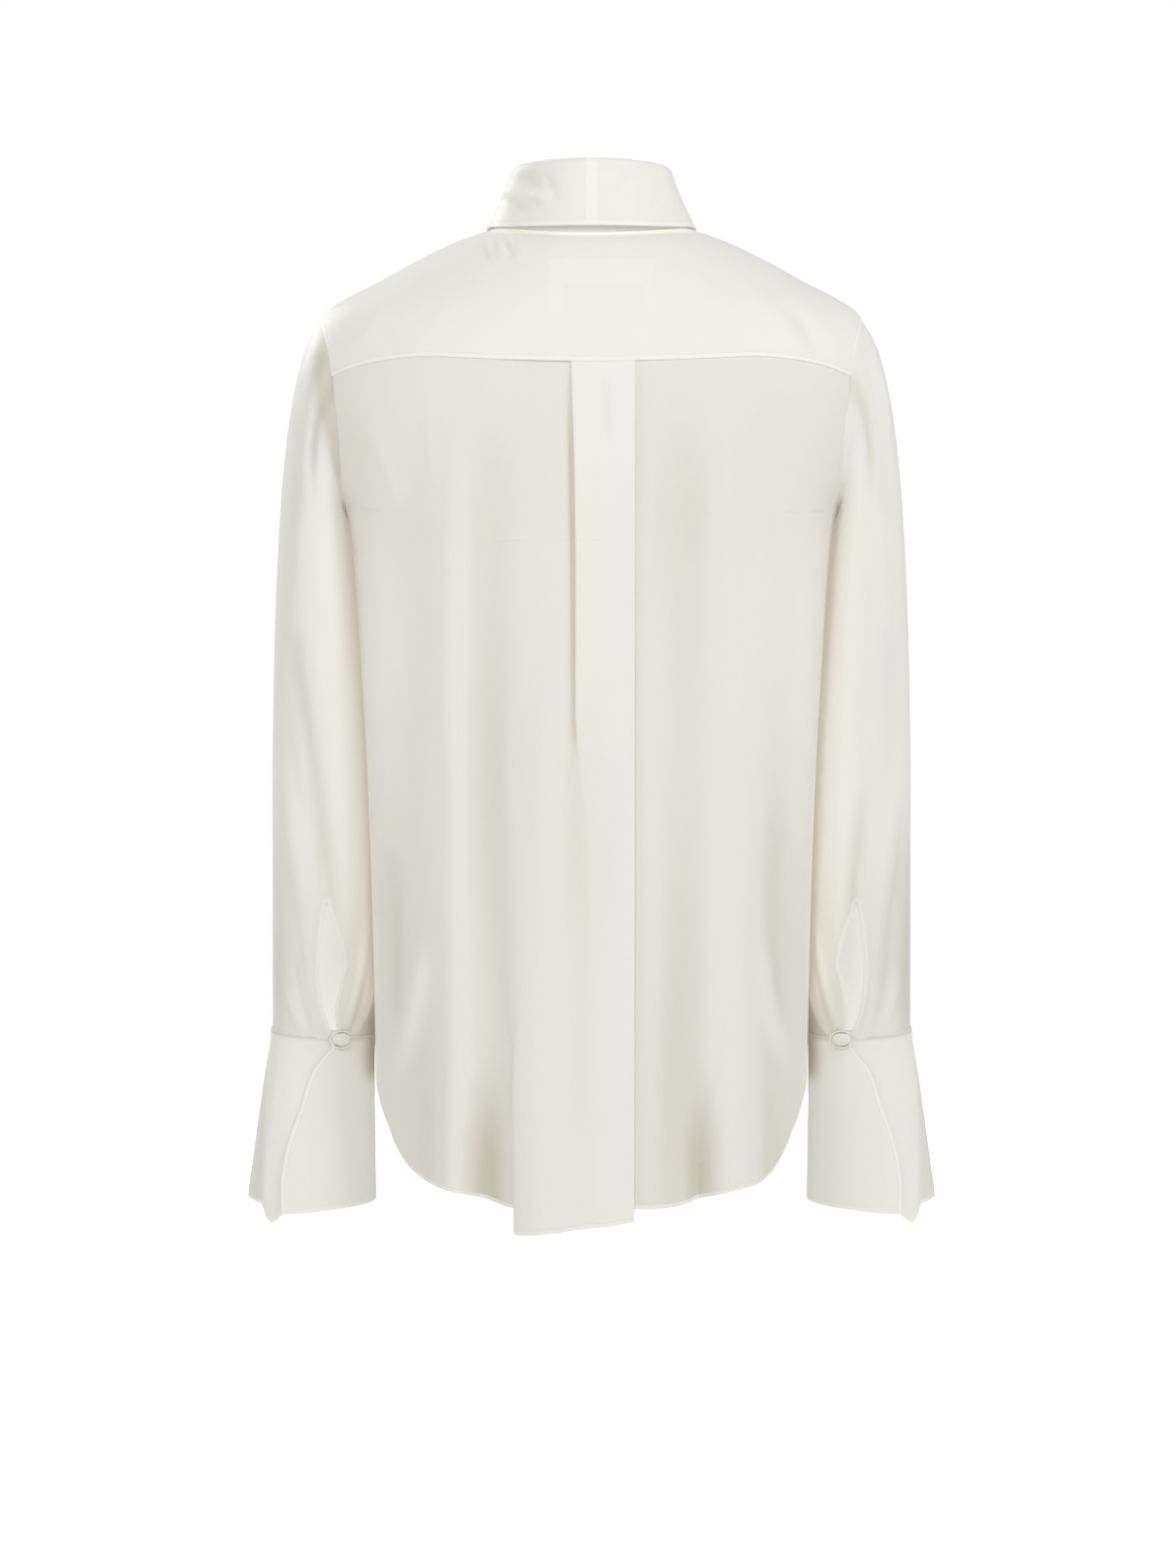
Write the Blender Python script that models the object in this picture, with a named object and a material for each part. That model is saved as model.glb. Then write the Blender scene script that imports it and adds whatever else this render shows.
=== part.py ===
"""A silk blouse in its worn, filled-out form: hollow, open at the neck, hem, armholes and cuffs.

Sizes are millimetres until MM turns them to metres. X runs to the wearer's left, -Y to the front
and Z up. The origin is the middle of the neck opening, level with the side neck points.
An angle round the body, neck or wrist is 0 at +X, 90 degrees at the back and -90 at the front.
"""
import math

import bmesh
import bpy
import numpy as np
from mathutils import Vector

MM = 0.001

BODY_WALL = 1.3
SLEEVE_WALL = 1.4
COLLAR_WALL = 1.4
CUFF_WALL = 1.5
BINDING_WALL = 1.0
SEAM_GAP = 0.4

# The body as rings from the neckline down. Heights at the side, back and front of each ring,
# its half width and depths, how square it is (2 is an ellipse), and where the armhole cuts it.
BODY_COLUMNS = ("side_z", "back_z", "front_z", "half_width", "back_depth", "front_depth",
                "squareness", "armhole_x")
BODY = np.array((
    (-3.0, -11.0, -72.0, 73.5, 61.0, 82.0, 2.0, 73.5),
    (-12.5, -19.0, -84.0, 101.0, 71.0, 90.0, 2.0, 101.0),
    (-27.0, -33.0, -96.0, 131.0, 80.0, 97.0, 2.05, 131.0),
    (-42.0, -49.5, -108.0, 158.0, 89.0, 103.0, 2.1, 158.0),
    (-55.5, -67.5, -121.0, 184.0, 96.0, 108.0, 2.2, 184.0),
    (-67.3, -86.5, -134.0, 199.5, 101.0, 112.0, 2.3, 199.5),
    (-92.0, -108.0, -148.0, 212.0, 105.0, 116.0, 2.5, 193.5),
    (-122.0, -132.0, -163.0, 216.0, 108.0, 119.0, 2.7, 189.0),
    (-154.0, -158.0, -180.0, 209.0, 110.0, 122.0, 2.85, 186.0),
    (-188.0, -188.0, -200.0, 195.0, 111.0, 124.0, 3.05, 183.5),
    (-215.0, -215.0, -218.0, 181.0, 111.0, 125.0, 3.3, 181.0),
    (-260.0, -260.0, -260.0, 175.5, 110.0, 125.0, 3.1, 175.5),
    (-320.0, -320.0, -320.0, 171.5, 108.0, 122.0, 2.9, 171.5),
    (-400.0, -400.0, -400.0, 166.9, 106.0, 118.0, 2.7, 166.9),
    (-500.0, -500.0, -500.0, 163.2, 104.0, 113.0, 2.55, 163.2),
    (-620.0, -620.0, -620.0, 160.4, 102.0, 108.0, 2.5, 160.4),
    (-760.0, -760.0, -760.0, 158.6, 101.0, 105.0, 2.5, 158.6),
))
SHOULDER_LEVEL = 5.0
UNDERARM_LEVEL = 10.0
FRONT_YOKE_LEVEL = 6.0
# Rings on which the panels' rows lie down the armhole, closest where it turns under the arm.
ARMHOLE_LEVELS = (7.0, 7.8, 8.5, 9.1, 9.55, 9.8, 9.94, 10.0)
# The share of a panel's half over which those rows spread out evenly again.
ROW_SPREAD = 0.35
FRONT_YOKE_NECK_ANGLE = math.radians(32)

# The yoke's back seam: its level at the centre, and how far it drops towards the armholes.
YOKE_SEAM_LEVEL = 6.0
YOKE_SEAM_DROP = 0.95
YOKE_SEAM_FLAT_ANGLE = math.radians(60)
YOKE_SEAM_FALL_ANGLE = math.radians(30)

# The hems' heights against the angle from the side seam.
HEM_COLUMNS = ("angle", "back_z", "front_z")
HEM = np.array((
    (0.0, -629.0, -629.0),
    (11.0, -638.0, -636.0),
    (25.0, -662.0, -647.0),
    (33.0, -683.0, -657.0),
    (38.0, -694.0, -663.0),
    (44.0, -703.0, -669.0),
    (52.0, -710.0, -676.0),
    (60.0, -716.0, -681.0),
    (70.0, -721.0, -686.0),
    (90.0, -722.0, -690.0),
))

# The box pleat in three folds down the back: hem edge, top left edge, right edge. Each row gives
# the fold's place and how far its cloth is tucked under, at a height; lift 1 stacks the layers.
FOLD_COLUMNS = ("z", "place", "tuck", "lift")
HEM_FOLD = np.array((
    (-100.0, 62.0, 0.0, 0.0),
    (-450.0, 62.0, 0.0, 0.0),
    (-560.0, 60.0, 0.0, 1.0),
    (-650.0, 58.0, 6.0, 1.0),
    (-750.0, 55.5, 13.0, 1.0),
))
TOP_FOLD = np.array((
    (-100.0, 14.0, 12.0, 1.0),
    (-250.0, 11.5, 10.0, 1.0),
    (-345.0, 11.0, 4.0, 1.0),
    (-400.0, 11.0, 0.0, 1.0),
    (-470.0, 11.0, 0.0, 0.0),
    (-750.0, 11.0, 0.0, 0.0),
))
LONG_FOLD = np.array((
    (-100.0, -31.5, 12.0, 1.0),
    (-400.0, -31.0, 9.0, 1.0),
    (-750.0, -31.0, 6.0, 1.0),
))
LAYER_STEP = 1.9
UNDER_LAYER = -2.4
TUCK_RAMP = 4.0
FLAT_PITCH = 1.6
PLEAT_BLEND = 30.0
PLEAT_HEM_DROP = 17.0

# Soft hanging folds: place and height at the top and at the hem, and half width.
SOFT_FOLD_COLUMNS = ("top_x", "hem_x", "top_height", "hem_height", "half_width")
BACK_SOFT_FOLDS = np.array((
    (136.0, 128.0, -2.0, -3.5, 13.0),
    (99.0, 101.0, 2.0, 4.5, 15.0),
    (76.0, 72.0, -2.5, -7.5, 12.0),
    (33.0, 34.0, 0.5, 3.5, 15.0),
    (-62.0, -80.0, -1.5, -6.5, 12.0),
    (-93.0, -108.0, 1.5, 4.5, 16.0),
    (-134.0, -137.0, -1.5, -4.0, 11.0),
))
FRONT_SOFT_FOLDS = np.array((
    (132.0, 129.0, -1.0, -4.0, 12.0),
    (96.0, 100.0, 1.5, 5.0, 15.0),
    (66.0, 70.0, -1.0, -6.0, 13.0),
    (38.0, 40.0, 0.0, 4.0, 14.0),
    (-44.0, -46.0, 0.0, 4.0, 14.0),
    (-72.0, -77.0, -1.0, -6.5, 12.0),
    (-104.0, -107.0, 1.5, 5.0, 15.0),
    (-134.0, -133.0, -1.0, -4.0, 12.0),
))
SOFT_FOLD_START_Z = -120.0
SOFT_FOLD_SIDE_ANGLE = math.radians(24)

BAND_HALF_WIDTH = 14.0
BAND_LIFT = 2.0
BAND_TOP_LEVEL = 0.25
LEFT_FRONT_EDGE_X = -11.0
BUTTON_COUNT = 7
FIRST_BUTTON_Z = -96.0
BUTTON_PITCH = 84.0
BUTTON_RADIUS = 5.5
BUTTON_THICKNESS = 3.4

# The collar's rings: the stand's foot and top, the roll of the fold, and the fall's upper part.
COLLAR_COLUMNS = ("side_z", "back_z", "front_z", "half_width", "back_depth", "front_depth")
STAND_FOOT = np.array((-1.7, -9.7, -70.6, 73.1, 60.6, 81.6))
STAND_TOP = np.array((38.7, 39.8, -41.0, 54.1, 51.0, 73.5))
ROLL_START = np.array((40.6, 41.7, -39.1, 53.6, 50.6, 73.0))
ROLL_TOP = np.array((43.2, 44.9, -36.5, 56.2, 53.2, 76.0))
FALL_START = np.array((41.0, 42.6, -38.5, 58.9, 55.8, 79.0))
STAND_OVERLAP = math.radians(9)
STAND_LAP_LIFT = 2.4

# The fall's lower edge from the centre back to the collar point, and the angle above it.
FALL_EDGE_COLUMNS = ("fold_angle", "x", "y", "z")
FALL_EDGE = np.array((
    (90.0, 0.0, 67.5, -4.6),
    (64.0, 34.5, 60.5, -4.4),
    (36.0, 62.0, 41.0, -3.3),
    (10.0, 75.8, 12.0, -1.8),
    (-14.0, 77.0, -19.0, -5.3),
    (-36.0, 71.5, -52.0, -24.0),
    (-58.0, 61.0, -80.0, -58.0),
    (-73.0, 53.0, -96.5, -85.0),
    (-86.0, 46.0, -105.0, -101.0),
))
FALL_BULGE = -0.9

LABEL_HALF_WIDTH = 39.0
LABEL_TOP_LEVEL = 1.05
LABEL_BOTTOM_LEVEL = 2.6
LABEL_X = -8.0
LABEL_WALL = 1.0

# A sleeve as rings from the armhole to the wrist: the ring's end next to the body and its outer
# end, its middle and half depth, how square it is, and how far its inner end lies forward.
SLEEVE_COLUMNS = ("inner_x", "inner_z", "outer_x", "outer_z", "middle_y", "half_depth",
                  "squareness", "forward")
SLEEVE = np.array((
    (181.0, -215.0, 199.5, -67.3, 0.0, 70.0, 2.2, 0.0),
    (183.6, -215.3, 205.5, -76.0, 0.0, 70.0, 2.2, 0.0),
    (184.8, -216.8, 212.0, -90.5, 0.0, 69.5, 2.2, 0.0),
    (184.2, -219.5, 218.2, -112.0, 0.0, 69.0, 2.2, 2.0),
    (182.2, -224.0, 224.0, -143.0, -0.5, 68.0, 2.2, 5.0),
    (180.6, -231.5, 228.5, -182.0, -1.0, 67.0, 2.2, 9.0),
    (179.3, -243.5, 231.4, -222.0, -1.5, 66.0, 2.2, 14.0),
    (177.1, -268.0, 233.4, -260.0, -2.0, 64.0, 2.2, 19.0),
    (174.2, -310.0, 235.2, -308.0, -3.0, 60.0, 2.2, 24.0),
    (171.2, -360.0, 236.3, -360.0, -4.0, 55.0, 2.2, 28.0),
    (168.3, -420.0, 237.0, -420.0, -5.0, 50.0, 2.2, 30.0),
    (166.0, -480.0, 237.3, -480.0, -6.0, 45.0, 2.2, 30.0),
    (164.3, -540.0, 237.6, -540.0, -7.0, 40.0, 2.2, 29.0),
    (163.2, -585.0, 237.6, -582.0, -8.0, 35.0, 2.2, 27.0),
    (162.8, -603.0, 237.6, -598.0, -8.0, 31.5, 2.1, 26.0),
))
CAP_STATIONS = 3.0
SLEEVE_SOFT_FOLDS = np.array((
    # angle, height at the cap, the elbow and the wrist, half width, in degrees and millimetres
    (30.0, 1.0, 2.0, -1.5, 16.0),
    (62.0, -1.0, -2.2, 1.6, 15.0),
    (128.0, 0.5, 1.6, -1.6, 14.0),
    (215.0, -0.5, -1.5, 1.2, 20.0),
    (262.0, 0.8, 2.0, -1.6, 18.0),
    (305.0, -1.0, -2.4, 1.4, 18.0),
))

# The slit at the back of the lower sleeve: how wide it stands open, and the angle of its middle.
SLIT_COLUMNS = ("z", "width", "angle")
SLIT = np.array((
    (-502.0, 0.0, 97.0),
    (-516.0, 6.0, 97.0),
    (-532.0, 13.0, 97.5),
    (-548.0, 17.0, 98.0),
    (-564.0, 14.0, 100.0),
    (-582.0, 8.0, 103.0),
    (-603.0, 4.0, 107.0),
))
BINDING_WIDTH = 3.4
BINDING_LIFT = 1.75

# A cuff from the wrist seam down: its ends beside the body and outside, its middle and half
# depth, how far its inner end lies forward, and the angles where the upper flap starts and the
# under end stops.
CUFF_COLUMNS = ("inner_x", "outer_x", "middle_y", "half_depth", "forward", "flap_angle", "under_angle")
CUFF = np.array((
    (162.8, 237.6, -8.0, 31.5, 26.0, 108.0, 460.0),
    (163.3, 241.5, -8.0, 34.5, 25.0, 84.0, 461.0),
    (163.0, 245.5, -8.0, 38.0, 24.0, 75.0, 455.0),
    (162.6, 249.2, -8.5, 41.5, 23.0, 66.0, 446.0),
    (162.2, 252.6, -9.0, 45.0, 22.0, 61.0, 440.0),
    (161.8, 255.9, -9.0, 48.0, 21.0, 62.0, 436.0),
))
CUFF_TOP_Z = -600.6
CUFF_BACK_DIP = 4.2
CUFF_HEM = np.array((
    # angle from the outer end and the hem's height there
    (0.0, -722.0),
    (60.0, -733.0),
    (120.0, -730.0),
    (180.0, -726.0),
    (270.0, -729.0),
    (360.0, -722.0),
    (400.0, -727.0),
    (420.0, -739.0),
    (470.0, -736.0),
))
FLAP_LIFT = 1.5
UNDER_LIFT = -1.2
LAP_SHARE = 0.16

CUFF_BUTTON_ANGLE = math.radians(110)
CUFF_BUTTON_HALF = (7.3, 2.6, 4.8)
CUFF_BUTTON_Z = -605.0
CUFF_BUTTON_STAND = 2.7
LOOP_TUBE = 0.8
LOOP_GROWTH = 1.8

FINISHES = {
    # colour, roughness, metallic
    "silk": ((0.83, 0.81, 0.74, 1.0), 0.55, 0.0),
    "double silk": ((0.87, 0.86, 0.79, 1.0), 0.55, 0.0),
    "covered button": ((0.78, 0.77, 0.72, 1.0), 0.5, 0.0),
    "label": ((0.90, 0.90, 0.88, 1.0), 0.6, 0.0),
}


def rows_at(table, position):
    """A section table read at positions between its rows, on one smooth curve through them."""
    last = len(table) - 1
    position = np.clip(np.asarray(position, dtype=float), 0, last)
    row = np.minimum(position.astype(int), last - 1)
    share = (position - row)[..., None]
    before, start, end, after = (table[np.clip(row + step, 0, last)] for step in (-1, 0, 1, 2))
    linear = (end - before) * share
    square = (2 * before - 5 * start + 4 * end - after) * share ** 2
    cube = (3 * start - before - 3 * end + after) * share ** 3
    return 0.5 * (2 * start + linear + square + cube)


def mixed(start, end, share):
    return start + (end - start) * share


def eased(share):
    """0 to 1 with a soft start and end."""
    share = np.clip(share, 0, 1)
    return share * share * (3 - 2 * share)


def ring_reach(angle, squareness):
    """How far a unit ring of this squareness reaches at an angle."""
    return (abs(np.cos(angle)) ** squareness + abs(np.sin(angle)) ** squareness) ** (-1 / squareness)


def body_point(angle, level):
    angle, level = np.broadcast_arrays(angle, level)
    side_z, back_z, front_z, half_width, back_depth, front_depth, squareness, _ = np.moveaxis(
        rows_at(BODY, level), -1, 0)
    reach = ring_reach(angle, squareness)
    at_back = np.sin(angle) > 0
    depth = np.where(at_back, back_depth, front_depth)
    far_z = np.where(at_back, back_z, front_z)
    return np.stack((half_width * np.cos(angle) * reach,
                     depth * np.sin(angle) * reach,
                     side_z + (far_z - side_z) * np.sin(angle) ** 2), -1)


def body_normal(angle, level):
    step = 0.004
    along = body_point(angle + step, level) - body_point(angle - step, level)
    down = body_point(angle, level + step) - body_point(angle, level - step)
    normal = np.cross(down, along)
    return normal / np.linalg.norm(normal, axis=-1, keepdims=True)


def body_place(angle, level, out=0.0):
    """A point on the body's form, moved out along its normal."""
    return body_point(angle, level) + body_normal(angle, level) * np.asarray(out)[..., None]


def level_at(angle, z):
    """The level at which the body's ring passes through a height, at an angle."""
    angle, z = np.broadcast_arrays(angle, z)
    low = np.zeros(angle.shape)
    high = np.full(angle.shape, len(BODY) - 1.0)
    for _ in range(30):
        middle = (low + high) / 2
        above = body_point(angle, middle)[..., 2] > z
        low = np.where(above, middle, low)
        high = np.where(above, high, middle)
    return (low + high) / 2


def edge_angle(level, inset=0.0):
    """The angle at which a ring meets the armhole, or the side seam below the underarm."""
    rows = rows_at(BODY, level)
    half_width, squareness, armhole_x = rows[..., 3], rows[..., 6], rows[..., 7]
    across = np.clip((armhole_x - inset) / half_width, 0, 1)
    return np.arctan2((1 - across ** squareness) ** (1 / squareness), across)


def panel_edge_angle(level):
    """Where a body panel ends, short of the armhole or the side seam by half a seam gap."""
    in_armhole = (level > SHOULDER_LEVEL) & (level < UNDERARM_LEVEL)
    side_gap = SEAM_GAP / 2 / 105
    return np.maximum(edge_angle(level, np.where(in_armhole, 1.6 * SEAM_GAP, 0.0)), side_gap)


def angle_at_x(x, level):
    """The angle, between 0 and 180 degrees, at which a ring has this x."""
    rows = rows_at(BODY, level)
    half_width, squareness = rows[..., 3], rows[..., 6]
    across = np.clip(x / half_width, -1, 1)
    return np.arctan2((1 - abs(across) ** squareness) ** (1 / squareness), across)


def seam_level(angle):
    """The level of the yoke's back seam at an angle."""
    from_side = np.minimum(angle, np.pi - angle)
    share = np.clip((YOKE_SEAM_FLAT_ANGLE - from_side) / YOKE_SEAM_FALL_ANGLE, 0, 1)
    return YOKE_SEAM_LEVEL + YOKE_SEAM_DROP * share ** 1.6


def seam_corner_level():
    """The level at which the yoke's back seam runs into the armhole."""
    level = np.array(YOKE_SEAM_LEVEL)
    for _ in range(40):
        level = (level + seam_level(panel_edge_angle(level))) / 2
    return float(level)


def soft_folds(table, x, z, angle):
    """How far the hanging folds stand out at a place on the body."""
    share = eased((SOFT_FOLD_START_Z - z) / (SOFT_FOLD_START_Z + 740.0))
    height = np.zeros(np.shape(x))
    for top_x, hem_x, top_height, hem_height, half_width in table:
        middle = mixed(top_x, hem_x, share)
        strength = mixed(top_height, hem_height, share) * eased((SOFT_FOLD_START_Z - z) / 120.0)
        height = height + strength * np.exp(-((x - middle) / half_width) ** 2)
    from_side = np.minimum(abs(angle), np.pi - abs(angle))
    return height * eased(from_side / SOFT_FOLD_SIDE_ANGLE)


def fold_profile(tuck, lift, mirrored):
    """A pressed fold's six columns at one height: offsets along the body and shares of its rise."""
    half = LAYER_STEP / 2
    tucked = np.array((tuck - half, tuck, tuck - half, half, 0.0, half))
    ramp = (np.arange(6) - 2.5) * FLAT_PITCH
    along = mixed(ramp, tucked, min(tuck / TUCK_RAMP, 1.0))
    rise = np.array((0.0, 0.25, 0.5, 0.5, 0.75, 1.0))
    if mirrored:
        return -along[::-1], rise[::-1]
    return along, rise


def fold_state(fold, z):
    return [float(np.interp(-z, -fold[:, 0], fold[:, column])) for column in (1, 2, 3)]


def pleat_row(z):
    """The pleat's columns at one height, from the wearer's left: places x and offsets out."""
    box_top = UNDER_LAYER + 2 * LAYER_STEP
    hem_x, hem_tuck, hem_lift = fold_state(HEM_FOLD, z)
    top_x, top_tuck, top_lift = fold_state(TOP_FOLD, z)
    long_x, long_tuck, long_lift = fold_state(LONG_FOLD, z)
    left_base = UNDER_LAYER * hem_lift
    between = mixed(UNDER_LAYER * top_lift, box_top, hem_lift)
    box_left = mixed(0.0, box_top, max(top_lift, hem_lift))
    places, offsets = [], []
    for place, tuck, lift, low, high, mirrored in (
            (hem_x, hem_tuck, hem_lift, left_base, between, False),
            (top_x, top_tuck, top_lift, between, box_left, False),
            (long_x, long_tuck, long_lift, UNDER_LAYER, box_top, True)):
        along, rise = fold_profile(tuck, lift, mirrored)
        places.append(place - along)
        offsets.append(mixed(low, high, rise))
    inner_left = np.linspace(places[0][-1], places[1][0], 5)[1:-1]
    inner_box = np.linspace(places[1][-1], places[2][0], 5)[1:-1]
    x = np.concatenate((places[0], inner_left, places[1], inner_box, places[2]))
    offset = np.concatenate((offsets[0], np.full(3, between), offsets[1],
                             np.linspace(box_left, box_top, 5)[1:-1], offsets[2]))
    return x, offset


def hem_z(angle, column):
    from_side = np.degrees(np.minimum(abs(angle), np.pi - abs(angle)))
    return np.interp(from_side, HEM[:, 0], HEM[:, column])


def pleat_hem_drop(count_before, count):
    """How much lower the box hangs at the hem, column by column of the pleat."""
    drop = np.zeros(count)
    drop[:6] = np.linspace(0.0, 1.0, 6) ** 1.5
    drop[6:count - 6] = np.linspace(1.0, 0.62, count - 12)
    drop[count - 6:] = 0.62 * np.array((0.7, 0.5, 0.35, 0.2, 0.1, 0.0))
    return np.concatenate((np.zeros(count_before), drop, np.zeros(count_before))) * PLEAT_HEM_DROP


def back_points(side_rows=14, side_columns=8):
    """The back panel, row by row from the yoke's seam to the hem, from the wearer's left."""
    corner = seam_corner_level()
    corner_angle = float(panel_edge_angle(np.array(corner)))
    corner_z = float(body_point(corner_angle, corner)[2])
    underarm_z, side_hem_z = BODY[int(UNDERARM_LEVEL), 0], HEM[0, 1]
    armhole_levels = np.concatenate(([corner], ARMHOLE_LEVELS[1:]))
    armhole_z = body_point(panel_edge_angle(armhole_levels), armhole_levels)[:, 2]
    side_z = np.linspace(underarm_z, side_hem_z, side_rows + 1)[1:]
    side_levels = level_at(0.0, side_z)
    edges = list(zip((*armhole_z, *side_z), (*armhole_levels, *side_levels)))
    points = []
    for row, (edge_z, edge_level) in enumerate(edges):
        edge_share = (corner_z - edge_z) / (corner_z - side_hem_z)
        centre_share = row / (len(edges) - 1)
        start = float(panel_edge_angle(np.array(edge_level)))
        centre_z = mixed(BODY[6, 1], HEM[-1, 1], centre_share)
        pleat_x, pleat_offset = pleat_row(centre_z)
        centre_level = level_at(np.pi / 2, centre_z)
        pleat_angle = angle_at_x(pleat_x, centre_level)
        left = mixed(start, pleat_angle[0], np.arange(side_columns) / side_columns)
        right = mixed(pleat_angle[-1], np.pi - start, np.arange(1, side_columns + 1) / side_columns)
        angle = np.concatenate((left, pleat_angle, right))
        out = np.concatenate((np.zeros(side_columns), pleat_offset, np.zeros(side_columns)))
        left_fade = eased(1 - (body_point(left, centre_level)[:, 0] - pleat_x[0]) / PLEAT_BLEND)
        right_fade = eased(1 + (body_point(right, centre_level)[:, 0] - pleat_x[-1]) / PLEAT_BLEND)
        out[:side_columns] = pleat_offset[0] * left_fade
        out[-side_columns:] = pleat_offset[-1] * right_fade
        from_side = np.minimum(angle, np.pi - angle)
        inward = (from_side - start) / (np.pi / 2 - start)
        seam_angle = mixed(corner_angle, np.pi / 2, inward)
        hem_angle = mixed(0.0, np.pi / 2, inward)
        seam_z = body_point(seam_angle, seam_level(seam_angle))[:, 2] - 1.4 * SEAM_GAP
        low_z = hem_z(hem_angle, 1) - pleat_hem_drop(side_columns, len(pleat_x))
        z = mixed(seam_z, low_z, mixed(edge_share, centre_share, eased(inward / ROW_SPREAD)))
        level = level_at(angle, z)
        x = body_point(angle, level)[:, 0]
        points.append(body_place(angle, level, out + soft_folds(BACK_SOFT_FOLDS, x, z, angle)))
    return np.array(points)


def yoke_outline(armhole_columns=7, seam_columns=24):
    """The yoke's columns: neckline angle, outer angle and outer level, front to front."""
    corner = seam_corner_level()
    front = FRONT_YOKE_LEVEL
    share = np.linspace(-1, 1, 2 * armhole_columns + 1)
    outer_level = SHOULDER_LEVEL + share ** 2 * np.where(share < 0, front, corner) \
        - share ** 2 * SHOULDER_LEVEL
    outer_angle = panel_edge_angle(outer_level) * np.sign(share)
    corner_angle = outer_angle[-1]
    neck_angle = mixed(-FRONT_YOKE_NECK_ANGLE, math.radians(34), (share + 1) / 2)
    seam_angle = np.linspace(corner_angle, np.pi - corner_angle, seam_columns + 1)[1:-1]
    seam_neck = np.linspace(neck_angle[-1], np.pi - neck_angle[-1], seam_columns + 1)[1:-1]
    neck = np.concatenate((neck_angle, seam_neck, np.pi - neck_angle[::-1]))
    outer = np.concatenate((outer_angle, seam_angle, np.pi - outer_angle[::-1]))
    level = np.concatenate((outer_level, seam_level(seam_angle), outer_level[::-1]))
    return neck, outer, level


def yoke_points(rows=6):
    neck, outer, level = yoke_outline()
    share = np.linspace(0, 1, rows + 1)[:, None]
    return body_place(mixed(neck, outer, share), mixed(0.0, level, share))


def front_rows(side_rows=12):
    """The fronts' rows: levels at the armhole and the centre, and a share of the way to the hem."""
    rows = [(float(level), float(level), 0.0) for level in np.arange(FRONT_YOKE_LEVEL + 1)]
    centre_step = (UNDERARM_LEVEL - FRONT_YOKE_LEVEL) / len(ARMHOLE_LEVELS)
    for index, level in enumerate(ARMHOLE_LEVELS):
        rows.append((level, FRONT_YOKE_LEVEL + centre_step * (index + 1), 0.0))
    for row in range(1, side_rows + 1):
        rows.append((UNDERARM_LEVEL, UNDERARM_LEVEL, row / side_rows))
    return rows


def front_level(angle, level, hem_share):
    """A front row's level at an angle: its own ring, lowered towards the hem."""
    start_z = body_point(angle, level)[..., 2]
    return level_at(angle, mixed(start_z, hem_z(angle, 2), hem_share))


def front_points(side, centre_x, columns=11):
    """A front, row by row from the neckline to the hem, from the armhole to the centre.

    side is 1 for the wearer's left. centre_x is how far past the centre line it runs.
    """
    points = []
    seam_inset = SEAM_GAP / 80
    yoke_end = float(panel_edge_angle(np.array(FRONT_YOKE_LEVEL))) + seam_inset / 2
    for edge_level, centre_level, hem_share in front_rows():
        if edge_level <= FRONT_YOKE_LEVEL:
            start = mixed(FRONT_YOKE_NECK_ANGLE + seam_inset, yoke_end, edge_level / FRONT_YOKE_LEVEL)
        else:
            start = float(panel_edge_angle(np.array(edge_level)))
        end = float(angle_at_x(-centre_x, centre_level))
        inward = np.linspace(0, 1, columns + 1)
        angle = -mixed(start, end, inward)
        row_level = mixed(edge_level, centre_level, eased(inward / ROW_SPREAD))
        level = front_level(angle, row_level, hem_share)
        place = body_point(angle, level)
        out = soft_folds(FRONT_SOFT_FOLDS, side * place[:, 0], place[:, 2], angle)
        near_centre = eased((place[:, 0] - 12.0) / 18.0)
        points.append(body_place(angle, level, out * near_centre))
    points = np.array(points)
    points[..., 0] *= side
    return points


def band_points():
    """The front band, laid on the fronts' rows and moved out."""
    x = np.array((-BAND_HALF_WIDTH, -BAND_HALF_WIDTH / 2, 0.0, BAND_HALF_WIDTH / 2, BAND_HALF_WIDTH))
    points = []
    for _, centre_level, hem_share in front_rows():
        row_level = max(centre_level, BAND_TOP_LEVEL)
        angle = -angle_at_x(x, row_level)
        points.append(body_place(angle, front_level(angle, row_level, hem_share), BAND_LIFT))
    return np.array(points)


def collar_ring(ring, angle):
    """A point on one of the collar's tilted rings."""
    side_z, back_z, front_z, half_width, back_depth, front_depth = ring
    at_back = np.sin(angle) > 0
    depth = np.where(at_back, back_depth, front_depth)
    far_z = np.where(at_back, back_z, front_z)
    return np.stack((half_width * np.cos(angle), depth * np.sin(angle),
                     side_z + (far_z - side_z) * np.sin(angle) ** 2), -1)


def stand_points(columns=36, rows=3):
    """The stand, from under the left front end round the back to the lapped right end."""
    start, end = -np.pi / 2 - STAND_OVERLAP, 1.5 * np.pi + STAND_OVERLAP
    angle = np.linspace(start, end, columns + 1)
    lift = STAND_LAP_LIFT * eased((angle - (end - math.radians(45))) / math.radians(27))
    points = []
    for row in range(rows + 1):
        ring = mixed(STAND_FOOT, STAND_TOP, row / rows)
        flat = np.stack((np.cos(angle), np.sin(angle), np.zeros(columns + 1)), -1)
        points.append(collar_ring(ring, angle) + flat * lift[:, None])
    return np.array(points)


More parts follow.
